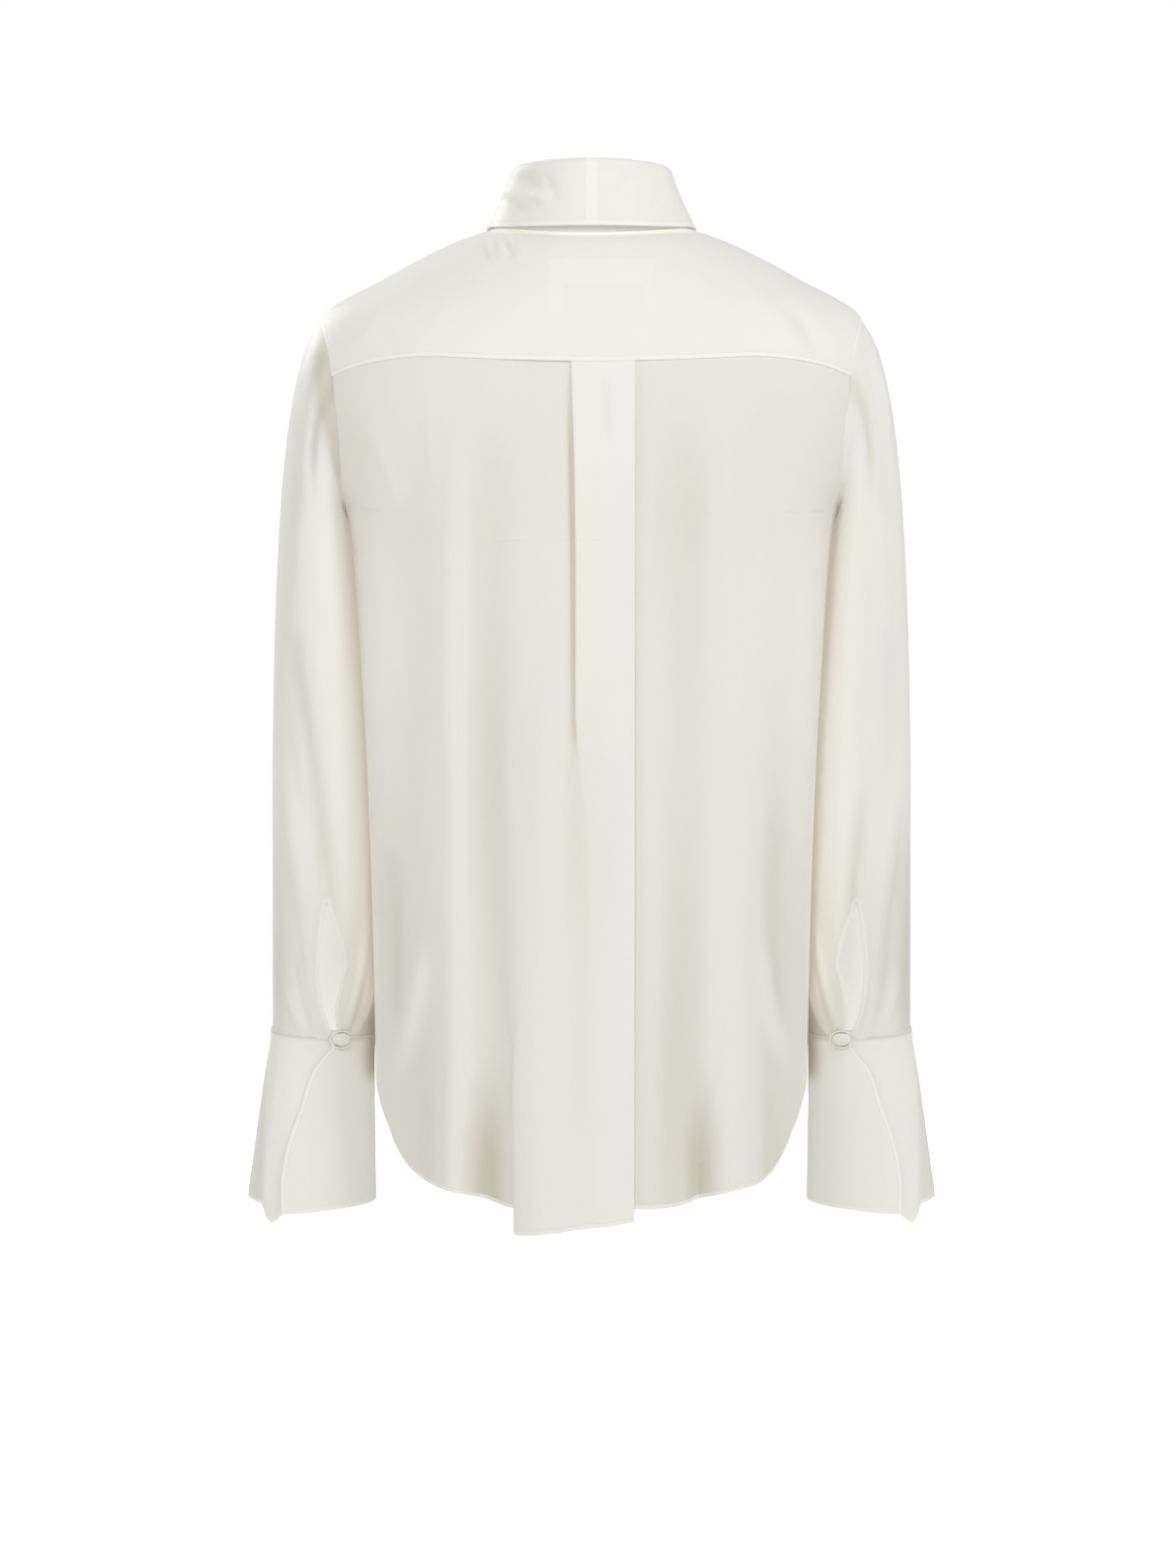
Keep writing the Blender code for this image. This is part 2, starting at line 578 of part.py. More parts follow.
def fall_points(side, columns=15):
    """Half of the turned-down collar, from the roll inside the fold to its lower edge."""
    place = np.linspace(0, len(FALL_EDGE) - 1, columns + 1)
    edge = rows_at(FALL_EDGE, place)
    angle = np.radians(edge[:, 0])
    low = edge[:, 1:]
    rows = [collar_ring(ring, angle) for ring in (ROLL_START, ROLL_TOP, FALL_START)]
    outward = np.stack((np.cos(angle), np.sin(angle), np.zeros(columns + 1)), -1)
    for share in (0.25, 0.5, 0.75, 1.0):
        bulge = FALL_BULGE * 4 * share * (1 - share)
        rows.append(mixed(rows[2], low, share) + outward * bulge)
    points = np.array(rows)
    points[:, 0, 0] = SEAM_GAP / 2
    points[:, :, 0] = np.maximum(points[:, :, 0], SEAM_GAP / 2)
    points[..., 0] *= side
    return points


def sleeve_ring(angle, station):
    inner_x, inner_z, outer_x, outer_z, middle_y, half_depth, squareness, forward = np.moveaxis(
        rows_at(SLEEVE, station), -1, 0)
    reach = ring_reach(angle, squareness)
    across = np.cos(angle) * reach
    depth = np.sin(angle) * reach
    dip = CUFF_BACK_DIP * np.clip(np.sin(angle), 0, 1) * eased((station - 12) / 2)
    return np.stack(((inner_x + outer_x) / 2 + (outer_x - inner_x) / 2 * across,
                     middle_y + half_depth * depth - forward * (1 - across) / 2,
                     (inner_z + outer_z) / 2 + (outer_z - inner_z) / 2 * across - dip), -1)


def armhole_point(angle):
    """The armhole's edge on the body, matched to an angle round the sleeve."""
    level = np.linspace(SHOULDER_LEVEL, UNDERARM_LEVEL, 800)
    height = sleeve_ring(angle, 0.0)[..., 2]
    points = []
    for one_angle, z in zip(np.ravel(angle), np.ravel(height)):
        sign = 1 if math.sin(one_angle) >= 0 else -1
        rim = body_point(sign * edge_angle(level, -SEAM_GAP * 1.6), level)
        at = float(np.interp(-z, -rim[:, 2], level))
        rim_angle = sign * edge_angle(np.array(at), 0.0)
        under_arm = max(0.0, -math.cos(one_angle)) ** 2
        clear = SEAM_GAP * np.array((1.6 + 1.2 * under_arm, 0.0, 3.6 * under_arm))
        points.append(body_point(rim_angle, at) + clear)
    return np.array(points).reshape(*np.shape(angle), 3)


def sleeve_folds(angle, station):
    """The sleeve's soft folds: how far they stand out."""
    degrees = np.degrees(angle) % 360
    height = np.zeros(np.broadcast(angle, station).shape)
    for middle, at_cap, at_elbow, at_wrist, half_width in SLEEVE_SOFT_FOLDS:
        strength = np.interp(station, (3.0, 6.0, 10.0, 12.5, 14.0), (0, at_cap, at_elbow, at_wrist, 0))
        away = (degrees - middle + 180) % 360 - 180
        height = height + strength * np.exp(-(away / half_width) ** 2)
    return height


def sleeve_place(angle, station, out=0.0):
    """A point on the wearer's left sleeve."""
    angle, station = np.broadcast_arrays(angle, station)
    away = np.stack((np.cos(angle), np.sin(angle), np.zeros(angle.shape)), -1)
    point = sleeve_ring(angle, station) + away * (out + sleeve_folds(angle, station))[..., None]
    near_cap = np.clip(1 - station / CAP_STATIONS, 0, 1) ** 2
    return point + (armhole_point(angle) - sleeve_ring(angle, 0.0)) * near_cap[..., None]


def station_at(z):
    """The sleeve's station at a height of its lower half, at the back."""
    station = np.linspace(8, len(SLEEVE) - 1, 600)
    height = sleeve_ring(np.full(600, np.pi / 2), station)[:, 2]
    return np.interp(-np.asarray(z), -height, station)


def slit_half_angle(z):
    """Half the slit's opening, as an angle round the sleeve, and the angle of its middle."""
    width = np.interp(-z, -SLIT[:, 0], SLIT[:, 1])
    middle = np.radians(np.interp(-z, -SLIT[:, 0], SLIT[:, 2]))
    half = np.where(z > SLIT[0, 0], 0.0, width / 2 / 37.0)
    return half, middle


def sleeve_points(side, columns=24):
    """A sleeve, ring by ring from the armhole to the wrist; the rings open along the slit."""
    upper = np.concatenate((np.linspace(0, 6, 7), (7.0, 8.0, 9.2, 10.4, 11.3)))
    slit_heights = SLIT[:-1, 0]
    stations = np.concatenate((upper, station_at(slit_heights), (len(SLEEVE) - 1,)))
    points = []
    for station in stations:
        z = float(sleeve_ring(np.array(np.pi / 2), np.array(float(station)))[2])
        half, middle = slit_half_angle(z)
        angle = np.linspace(middle + half, middle + 2 * np.pi - half, columns + 1)
        ring = sleeve_place(angle, np.full(columns + 1, float(station)))
        if half == 0.0:
            ring[-1] = ring[0]
        points.append(ring)
    points = np.array(points)
    points[..., 0] *= side
    return points


def binding_points(side, rows=14):
    """The slit's binding: a narrow strip up one edge, round the top and down the other."""
    low_z, top_z = SLIT[-1, 0] + 4.5, SLIT[0, 0]
    height = np.concatenate((np.linspace(low_z, top_z - 4, rows // 2),
                             np.linspace(top_z - 4, low_z, rows // 2)))
    width = np.interp(-height, -SLIT[:, 0], SLIT[:, 1])
    sign = np.concatenate((np.full(rows // 2, -1.0), np.full(rows // 2, 1.0)))
    line_s = sign * (width / 2 + BINDING_WIDTH / 2)
    crown = np.array((-2.2, 0.0, 2.2))
    line_s = np.insert(line_s, rows // 2, crown)
    line_z = np.insert(height, rows // 2, (top_z - 0.5, top_z + 1.2, top_z - 0.5))
    along = np.stack((np.gradient(line_s), np.gradient(line_z)), -1)
    along /= np.linalg.norm(along, axis=-1, keepdims=True)
    strip = []
    for offset in (-BINDING_WIDTH / 2, BINDING_WIDTH / 2):
        s = line_s + along[:, 1] * offset
        z = line_z - along[:, 0] * offset
        middle = np.radians(np.interp(-z, -SLIT[:, 0], SLIT[:, 2]))
        strip.append(sleeve_place(middle + s / 37.0, station_at(z), BINDING_LIFT))
    points = np.array(strip)
    points[..., 0] *= side
    return points


def cuff_place(angle, share, out=0.0):
    """A point on the wearer's left cuff; share runs from the wrist seam to the hem."""
    angle, share = np.broadcast_arrays(angle, share)
    inner_x, outer_x, middle_y, half_depth, forward, _, _ = np.moveaxis(
        rows_at(CUFF, share * (len(CUFF) - 1)), -1, 0)
    reach = ring_reach(angle, 2.1)
    top_z = CUFF_TOP_Z + (np.cos(angle) * 2.5) - CUFF_BACK_DIP * np.clip(np.sin(angle), 0, 1)
    low_z = np.interp(np.degrees(angle), CUFF_HEM[:, 0], CUFF_HEM[:, 1])
    return np.stack(((inner_x + outer_x) / 2 + ((outer_x - inner_x) / 2 * reach + out) * np.cos(angle),
                     middle_y + (half_depth * reach + out) * np.sin(angle)
                     - forward * (1 - np.cos(angle) * reach) / 2,
                     mixed(top_z - SEAM_GAP * 1.4, low_z, share)), -1)


def cuff_points(side, columns=32, rows=6):
    """A cuff, from its upper flap's edge round the wrist to the end that lies beneath."""
    points = []
    for row in range(rows + 1):
        share = row / rows
        flap, under = rows_at(CUFF, share * (len(CUFF) - 1))[-2:]
        across = np.linspace(0, 1, columns + 1)
        angle = np.radians(mixed(flap, under, across))
        lift = FLAP_LIFT * eased(1 - across / LAP_SHARE) + UNDER_LIFT * eased(
            1 - (1 - across) / LAP_SHARE)
        points.append(cuff_place(angle, share, lift))
    points = np.array(points)
    points[..., 0] *= side
    return points


def label_points():
    """The blank label, laid on the inside of the yoke."""
    x = np.linspace(-LABEL_HALF_WIDTH, LABEL_HALF_WIDTH, 7)[None, :] + LABEL_X
    level = np.linspace(LABEL_TOP_LEVEL, LABEL_BOTTOM_LEVEL, 4)[:, None]
    out = -(BODY_WALL / 2 + LABEL_WALL / 2 + 2 * SEAM_GAP)
    return body_place(angle_at_x(x, level), level, np.full((4, 7), out))


def finish(name):
    """The material of one kind of piece, made once."""
    if name in bpy.data.materials:
        return bpy.data.materials[name]
    colour, roughness, metallic = FINISHES[name]
    material = bpy.data.materials.new(name)
    material.use_nodes = True
    shader = material.node_tree.nodes["Principled BSDF"]
    shader.inputs["Base Color"].default_value = colour
    shader.inputs["Roughness"].default_value = roughness
    shader.inputs["Metallic"].default_value = metallic
    return material


def add_piece(name, shape, finish_name):
    """A bmesh as a named object with smooth faces."""
    mesh = bpy.data.meshes.new(name)
    shape.to_mesh(mesh)
    shape.free()
    mesh.shade_smooth()
    mesh.materials.append(finish(finish_name))
    piece = bpy.data.objects.new(name, mesh)
    bpy.context.scene.collection.objects.link(piece)
    return piece


def add_cloth(name, points, finish_name="silk", wall=BODY_WALL, joined=False):
    """One cloth wall: a grid of quads laid on points[row][column] and thickened about it."""
    rows, columns = points.shape[0] - 1, points.shape[1] - 1
    shape = bmesh.new()
    bmesh.ops.create_grid(shape, x_segments=columns, y_segments=rows, size=0.5)
    for vertex in shape.verts:
        column = round((vertex.co.x + 0.5) * columns)
        row = round((0.5 - vertex.co.y) * rows)
        vertex.co = Vector(points[row, column]) * MM
    if joined:
        bmesh.ops.remove_doubles(shape, verts=shape.verts, dist=0.00001)
    piece = add_piece(name, shape, finish_name)
    thickness = piece.modifiers.new("wall", "SOLIDIFY")
    thickness.thickness = wall * MM
    thickness.offset = 0.0
    return piece


def add_button(name, middle, half_sizes, facing, segments=12, rings=6):
    """A covered button: a flattened ball whose thin axis points along facing."""
    shape = bmesh.new()
    bmesh.ops.create_uvsphere(shape, u_segments=segments, v_segments=rings, radius=MM)
    half_across, half_thick, half_high = half_sizes
    bmesh.ops.scale(shape, vec=(half_across, half_high, half_thick), verts=shape.verts)
    turn = Vector(facing).to_track_quat("Z", "Y").to_matrix()
    bmesh.ops.rotate(shape, matrix=turn, verts=shape.verts)
    piece = add_piece(name, shape, "covered button")
    piece.location = Vector(middle) * MM
    return piece


def add_loop(name, middle, facing, half_sizes, segments=16, sides=6):
    """A thin cord loop round a button's rim, open where it is caught in the seam."""
    curve = bpy.data.curves.new(name, "CURVE")
    curve.dimensions = "3D"
    curve.bevel_depth = LOOP_TUBE * MM
    curve.bevel_resolution = sides // 4
    curve.use_fill_caps = True
    line = curve.splines.new("POLY")
    line.points.add(segments)
    turn = Vector(facing).to_track_quat("Z", "Y").to_matrix()
    for index, point in enumerate(line.points):
        angle = math.radians(mixed(35.0, 325.0, index / segments))
        flat = Vector(((half_sizes[0] + LOOP_GROWTH) * math.cos(angle),
                       (half_sizes[2] + LOOP_GROWTH) * math.sin(angle), -0.6))
        point.co = (*((turn @ flat + Vector(middle)) * MM), 1.0)
    curve.materials.append(finish("silk"))
    piece = bpy.data.objects.new(name, curve)
    bpy.context.scene.collection.objects.link(piece)
    return piece


def add_body():
    add_cloth("back_panel", back_points())
    add_cloth("back_yoke", yoke_points(), "double silk")
    add_cloth("front_left", front_points(1, -LEFT_FRONT_EDGE_X))
    add_cloth("front_right", front_points(-1, -BAND_HALF_WIDTH - SEAM_GAP))
    add_cloth("front_band", band_points())
    add_cloth("neck_label", label_points(), "label", LABEL_WALL)


def add_front_buttons():
    for index in range(BUTTON_COUNT):
        z = FIRST_BUTTON_Z - index * BUTTON_PITCH
        level = level_at(-np.pi / 2, z)
        normal = body_normal(-np.pi / 2, level)
        out = BAND_LIFT + BODY_WALL / 2 + SEAM_GAP + BUTTON_THICKNESS / 2
        middle = body_place(-np.pi / 2, level, out)
        half_sizes = (BUTTON_RADIUS, BUTTON_THICKNESS / 2, BUTTON_RADIUS)
        add_button(f"front_button_{index + 1}", middle, half_sizes, normal)


def add_collar():
    add_cloth("collar_stand", stand_points(), "double silk", COLLAR_WALL)
    add_cloth("collar_fall_left", fall_points(1), "double silk", COLLAR_WALL)
    add_cloth("collar_fall_right", fall_points(-1), "double silk", COLLAR_WALL)


def add_sleeve(word, side):
    add_cloth("sleeve_" + word, sleeve_points(side), "silk", SLEEVE_WALL, joined=True)
    add_cloth("slit_binding_" + word, binding_points(side), "silk", BINDING_WALL)
    add_cloth("cuff_" + word, cuff_points(side), "silk", CUFF_WALL)
    foot = cuff_place(CUFF_BUTTON_ANGLE, 0.0, CUFF_BUTTON_STAND + CUFF_BUTTON_HALF[1])
    middle = (side * foot[0], foot[1], CUFF_BUTTON_Z)
    facing = (side * math.cos(CUFF_BUTTON_ANGLE), math.sin(CUFF_BUTTON_ANGLE), 0.0)
    add_button("cuff_button_" + word, middle, CUFF_BUTTON_HALF, facing)
    add_loop("cuff_loop_" + word, middle, facing, CUFF_BUTTON_HALF)


def main():
    for old in list(bpy.data.objects):
        bpy.data.objects.remove(old)
    add_body()
    add_front_buttons()
    add_collar()
    for word, side in (("left", 1), ("right", -1)):
        add_sleeve(word, side)


main()
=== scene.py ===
"""A silk blouse in its worn, filled-out form: thin ivory crepe, open at neck, hem and cuffs.

Sizes are millimetres until MM turns them to metres. X runs to the wearer's left, -Y to the front
and Z up. An angle round the body, neck or wrist is 0 at +X, 90 degrees at the back.
"""

import math

import bmesh
import bpy
import numpy as np
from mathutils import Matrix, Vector


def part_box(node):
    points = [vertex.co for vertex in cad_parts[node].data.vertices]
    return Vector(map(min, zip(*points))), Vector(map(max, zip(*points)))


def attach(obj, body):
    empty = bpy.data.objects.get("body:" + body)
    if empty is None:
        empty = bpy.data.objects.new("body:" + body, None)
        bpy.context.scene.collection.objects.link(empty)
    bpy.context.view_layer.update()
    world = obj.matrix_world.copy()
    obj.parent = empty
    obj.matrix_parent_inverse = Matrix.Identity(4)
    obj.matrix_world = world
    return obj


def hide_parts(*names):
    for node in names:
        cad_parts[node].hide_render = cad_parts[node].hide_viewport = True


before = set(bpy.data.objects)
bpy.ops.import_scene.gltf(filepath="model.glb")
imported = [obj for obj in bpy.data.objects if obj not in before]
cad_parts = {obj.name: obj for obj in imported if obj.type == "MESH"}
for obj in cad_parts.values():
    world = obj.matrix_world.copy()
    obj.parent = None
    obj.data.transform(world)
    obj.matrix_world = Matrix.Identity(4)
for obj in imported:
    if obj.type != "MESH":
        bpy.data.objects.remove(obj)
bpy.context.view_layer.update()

bl_info = {
    "name": "Silk blouse",
    "version": (1, 0, 0),
    "blender": (4, 5, 0),
    "location": "View3D > Sidebar > Blouse",
    "description": "Builds a silk blouse in its worn form, piece by piece, with its cloth finishes",
    "category": "Add Mesh",
}

MM = 0.001


def box_size(node):
    """A node's size along x, y and z."""
    low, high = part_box(node)
    return high - low


# ---------------------------------------------------------------- the body's form

# The body as rings from the neckline down. Heights at the side, back and front of each ring,
# its half width and depths, how square it is (2 is an ellipse), and where the armhole cuts it.
BODY = np.array((
    # side_z, back_z, front_z, half_width, back_depth, front_depth, squareness, armhole_x
    (-3, -11, -72, 73.5, 61, 82, 2, 73.5),
    (-12.5, -19, -84, 101, 71, 90, 2, 101),
    (-27, -33, -96, 131, 80, 97, 2.05, 131),
    (-42, -49.5, -108, 158, 89, 103, 2.1, 158),
    (-55.5, -67.5, -121, 184, 96, 108, 2.2, 184),
    (-67.3, -86.5, -134, 199.5, 101, 112, 2.3, 199.5),
    (-92, -108, -148, 212, 105, 116, 2.5, 193.5),
    (-122, -132, -163, 216, 108, 119, 2.7, 189),
    (-154, -158, -180, 209, 110, 122, 2.85, 186),
    (-188, -188, -200, 195, 111, 124, 3.05, 183.5),
    (-215, -215, -218, 181, 111, 125, 3.3, 181),
    (-260, -260, -260, 175.5, 110, 125, 3.1, 175.5),
    (-320, -320, -320, 171.5, 108, 122, 2.9, 171.5),
    (-400, -400, -400, 166.9, 106, 118, 2.7, 166.9),
    (-500, -500, -500, 163.2, 104, 113, 2.55, 163.2),
    (-620, -620, -620, 160.4, 102, 108, 2.5, 160.4),
    (-760, -760, -760, 158.6, 101, 105, 2.5, 158.6),
))
SHOULDER_LEVEL = 5.0
UNDERARM_LEVEL = 10.0
FRONT_YOKE_LEVEL = 6.0
# Rings on which the panels' rows lie down the armhole, closest where it turns under the arm.
ARMHOLE_LEVELS = (7.0, 7.8, 8.5, 9.1, 9.55, 9.8, 9.94, 10.0)
ARMHOLE_ROWS = 26
# The share of a front's width over which those rows spread out evenly again.
ROW_SPREAD = 0.35
FRONT_YOKE_NECK_ANGLE = math.radians(32)
BACK_YOKE_NECK_ANGLE = math.radians(34)

# The yoke's back seam: its level at the centre, and how far it drops towards the armholes.
YOKE_SEAM_LEVEL = 6.0
YOKE_SEAM_DROP = 0.95
YOKE_SEAM_FLAT_ANGLE = math.radians(60)
YOKE_SEAM_FALL_ANGLE = math.radians(30)

# At a seam the lower cloth runs on under the upper one: how far, and how deep.
LAP = 3.0
LAP_DEPTH = 0.8

HEM = np.array((
    # angle from the side seam, back_z, front_z
    (0, -629, -629),
    (11, -638, -636),
    (25, -664.5, -647),
    (33, -689, -657),
    (38, -699.5, -663),
    (44, -706.5, -669),
    (52, -711, -676),
    (60, -717.5, -681),
    (70, -724, -686),
    (90, -723, -690),
))

# The box pleat in three folds down the back: hem edge, top left edge, right edge. Each row gives
# the fold's place, how far its cloth is tucked under, whether its layers lie stacked, how far the
# fold's edge stands open, how wide the rise is where nothing is tucked, and how deep a furrow
# runs along the edge. Only the top left edge has a furrow.
HEM_FOLD = np.array((
    # z, place, tuck, lift, stand, spread, furrow
    (-100, 60, 0, 0, 0, 46, 0),
    (-450, 60, 0, 0, 0, 46, 0),
    (-560, 59, 0, 1, 0, 20, 0),
    (-650, 58, 6, 1, 1.2, 8, 0),
    (-750, 56.5, 13, 1, 2, 8, 0),
))
TOP_FOLD = np.array((
    (-100, 15, 12, 1, 0, 8, 0),
    (-130, 14.2, 12, 1, 0.3, 8, 0.5),
    (-180, 12.6, 11, 1, 0.7, 8, 2.2),
    (-250, 11.5, 10, 1, 0.8, 8, 2.2),
    (-330, 11.5, 6, 0.9, 0.5, 8, 1.6),
    (-385, 11.5, 2.6, 0.5, 0.2, 12, 1.3),
    (-440, 11, 0.4, 0.1, 0, 24, 1.1),
    (-500, 9, 0, 0, 0, 26, 0.9),
    (-570, 5.5, 0, 0, 0, 26, 0.5),
    (-750, 3, 0, 0, 0, 26, 0),
))
LONG_FOLD = np.array((
    (-100, -31.8, 12, 1, 0, 8, 0),
    (-400, -31.4, 9, 1, 0.3, 8, 0),
    (-750, -31, 6, 1, 0.8, 8, 0),
))
LAYER_STEP = 1.2
UNDER_LAYER = -1.4
TUCK_RAMP = 4.0
FOLD_TURN = 7
FOLD_MIDDLE = 3
FURROW_HALF_WIDTH = 2.6
OPEN_FURROW_HALF_WIDTH = 9.0
BETWEEN_FOLDS = 22
PLEAT_BLEND = 30.0
# How doubled the cloth reads between the hem's fold and the box, and the shade painted beside it.
BETWEEN_DOUBLED = 0.15
BESIDE_BOX_SHADE = 0.3
PLEAT_HEM_DROP = 19.0
# The back's hem hangs lower on the wearer's right, round this angle from the side seam.
RIGHT_HEM_DROP = 7.5
RIGHT_HEM_DROP_DEGREES = 29.0
RIGHT_HEM_DROP_HALF = 10.0

# Soft hanging folds: place and height at the top and at the hem, and half width.
BACK_SOFT_FOLDS = np.array((
    # top_x, hem_x, top_height, hem_height, half_width
    (161, 151, 1.5, 0.5, 9),
    (133, 130, -2.2, -5.2, 18),
    (100, 101, 3, 6.5, 13),
    (75, 76, -5, -8, 19),
    (34, 36, 1.8, 4, 15),
    (-71, -63, -4.4, -7.5, 17),
    (-97, -108, 3, 6, 15),
    (-136, -140, -0.8, -7, 16),
    (-163, -153, 1.5, 0.5, 9),
))
FRONT_SOFT_FOLDS = np.array((
    (132, 129, -2.6, -6.5, 12),
    (96, 100, 2.6, 7, 15),
    (66, 70, -3, -10, 13),
    (38, 40, 0.8, 5, 14),
    (-44, -46, 0.8, 5, 14),
    (-72, -77, -3.2, -10.5, 12),
    (-104, -107, 2.6, 7, 15),
    (-134, -133, -2.4, -6.5, 12),
))
SOFT_FOLD_START_Z = -120.0
SOFT_FOLD_END_Z = -740.0
SOFT_FOLD_RAMP = 120.0
SOFT_FOLD_SIDE_ANGLE = math.radians(24)
ARMHOLE_FADE = math.radians(9)
# The folds sway sideways, in millimetres, and swell, as a share, down the panel.
FOLD_WAVER = 2.2
WAVER_PITCH = 83.0
FOLD_SWELL = 0.22
SWELL_PITCH = 61.0
# The share of a crease's length over which each of its ends runs out.
CREASE_END = 0.4

# Glow painted near the side seams for light that comes through, from just under the arm down.
THROUGH_ANGLE = math.radians(26)
SIDE_THROUGH_Z = -172.0
SIDE_THROUGH_RAMP = 40.0
# Shade painted where the back turns a little from the light under the yoke, and glow painted
# where its flanks catch some from the side.
UNDER_YOKE_SHADE = 0.15
UNDER_YOKE_LOW_Z = -290.0
UNDER_YOKE_RAMP = 130.0
FLANK_GLOW = 0.4
FLANK_X = 148.0
FLANK_Z = -325.0
FLANK_HALF_WIDTH = 34.0
FLANK_HALF_HEIGHT = 115.0
# The back grows from flat to its own folds over this much below the yoke's seam.
SEWN_RAMP = 22.0
# The fronts lie flat beside the band, and turn a little further under the arm.
BESIDE_BAND_X = 12.0
BESIDE_BAND_RAMP = 18.0
UNDERARM_TURN = 0.006
UNDERARM_TURN_LEVEL = 9.0
# The body's radius where the fronts lap under the yoke, to turn that lap into an angle.
LAP_RADIUS = 110.0

# Creases pressed or pulled into the cloth, from one place to another across the panel: how far
# each stands out, its half width and how far its middle bows sideways.
BACK_CREASES = (
    # x0, z0, x1, z1, height, half_width, bow
    (124, -520, 150, -640, 5.5, 8, 4),
    (-123, -520, -154, -642, 5.5, 8, -4),
    (151, -430, 150, -625, -6, 8, 0),
    (-141, -400, -146, -640, -4.2, 12, 0),
    (-80, -610, -84, -830, -14, 9.5, 0),
    (83, -610, 83, -830, -9.5, 13, 0),
    (13, -560, 12, -690, -1.2, 8, 0),
    (20, -250, 34, -420, 1.4, 8, 3),
    (52, -330, 44, -500, -1.4, 8, -3),
    (118, -330, 108, -500, -1.2, 8, 3),
    (-48, -180, -44, -330, -1.2, 6, 2),
    (-118, -260, -112, -400, 1.4, 9, 3),
    (131, -640, 117, -672, -1, 3, 1),
    (-130, -640, -141, -668, -1, 3, 1),
    (166, -150, 138, -225, 1, 5, 3),
    (-163, -150, -140, -240, 0.9, 5, -3),
    (120, -128, 116, -210, 0.7, 5, 0),
    (-98, -120, -104, -230, 0.7, 6, 0),
    (-7.5, -112, -12, -178, -1.3, 3, 0),
)
FRONT_CREASES = (
    (168, -175, 118, -250, 1.4, 7, 4),
    (-168, -175, -120, -255, 1.4, 7, -4),
    (150, -150, 95, -205, -1, 6, 4),
    (-150, -150, -92, -210, -1, 6, -4),
    (126, -520, 146, -620, 2, 6, 2),
    (-124, -525, -147, -622, 2, 6, -2),
)
YOKE_CREASES = (
    (66, -8, 56, -34, -2.2, 2.6, 0),
    (73, -8, 65, -34, 1.8, 2.6, 0),
    (81, -12, 74, -36, -1.6, 2.6, 0),
    (59, -8, 48, -34, 1.5, 2.6, 0),
    (-142, -56, -172, -112, -3.4, 6.5, 1),
    (-122, -54, -156, -104, 1.6, 6, 1),
    (150, -60, 178, -102, 1.2, 6, 1),
    (158, -80, 140, -108, -1, 5, 0),
    (-58, -16, -74, -36, -0.9, 3, 0),
    (20, -60, 70, -96, -0.7, 9, 4),
    (-30, -70, -90, -92, 0.7, 9, -4),
)


def rows_at(table, position):
    """A section table read at positions between its rows, on one smooth curve through them."""
    last = len(table) - 1
    position = np.clip(np.asarray(position, dtype=float), 0, last)
    row = np.minimum(position.astype(int), last - 1)
    share = (position - row)[..., None]
    before, start, end, after = (table[np.clip(row + step, 0, last)] for step in (-1, 0, 1, 2))
    linear = (end - before) * share
    square = (2 * before - 5 * start + 4 * end - after) * share ** 2
    cube = (3 * start - before - 3 * end + after) * share ** 3
    return 0.5 * (2 * start + linear + square + cube)


def smooth_at(table, value, column):
    """A table's column at a value of its first column, which rises or falls, read smoothly."""
    first = table[:, 0] if table[-1, 0] > table[0, 0] else -table[:, 0]
    value = value if table[-1, 0] > table[0, 0] else -np.asarray(value)
    return rows_at(table, np.interp(value, first, np.arange(len(table))))[..., column]


def mixed(start, end, share):
    return start + (end - start) * share


def bell(distance, half_width):
    """1 at no distance, fading softly past the half width."""
    return np.exp(-(distance / half_width) ** 2)


def on_side(points, side):
    """Rows of points as one grid, on the wearer's left (1) or right (-1)."""
    points = np.array(points)
    points[..., 0] *= side
    return points


def eased(share):
    """0 to 1 with a soft start and end."""
    share = np.clip(share, 0, 1)
    return share * share * (3 - 2 * share)


def creases(table, across, height):
    """How far a table's creases stand out at places on a panel."""
    total = np.zeros(np.broadcast(across, height).shape)
    for x0, z0, x1, z1, stand, half_width, bow in table:
        long = math.hypot(x1 - x0, z1 - z0)
        along = ((across - x0) * (x1 - x0) + (height - z0) * (z1 - z0)) / long ** 2
        aside = ((across - x0) * (z1 - z0) - (height - z0) * (x1 - x0)) / long
        held = np.clip(along, 0, 1)
        aside = aside - bow * 4 * held * (1 - held)
        total += stand * bell(aside, half_width) * eased(along / CREASE_END) * eased(
            (1 - along) / CREASE_END)
    return total


def lapped(distance):
    """How deep cloth lies under a seam, by its distance past the seam."""
    return -LAP_DEPTH * eased(1 - distance / (2 * LAP))


def ring_reach(angle, squareness):
    """How far a unit ring of this squareness reaches at an angle."""
    across, deep = abs(np.cos(angle)), abs(np.sin(angle))
    return (across ** squareness + deep ** squareness) ** (-1 / squareness)


def ring_point(angle, sizes, reach=1.0):
    """A point on a tilted ring with these heights at its side, back and front, half width and
    depths behind and in front."""
    side_z, back_z, front_z, half_width, back_depth, front_depth = sizes
    at_back = np.sin(angle) > 0
    depth = np.where(at_back, back_depth, front_depth)
    far_z = np.where(at_back, back_z, front_z)
    return np.stack((half_width * np.cos(angle) * reach,
                     depth * np.sin(angle) * reach,
                     side_z + (far_z - side_z) * np.sin(angle) ** 2), -1)


def body_point(angle, level):
    angle, level = np.broadcast_arrays(angle, level)
    *sizes, squareness, _ = np.moveaxis(rows_at(BODY, level), -1, 0)
    return ring_point(angle, sizes, ring_reach(angle, squareness))


def body_normal(angle, level):
    step = 0.004
    along = body_point(angle + step, level) - body_point(angle - step, level)
    down = body_point(angle, level + step) - body_point(angle, level - step)
    normal = np.cross(down, along)
    return normal / np.linalg.norm(normal, axis=-1, keepdims=True)


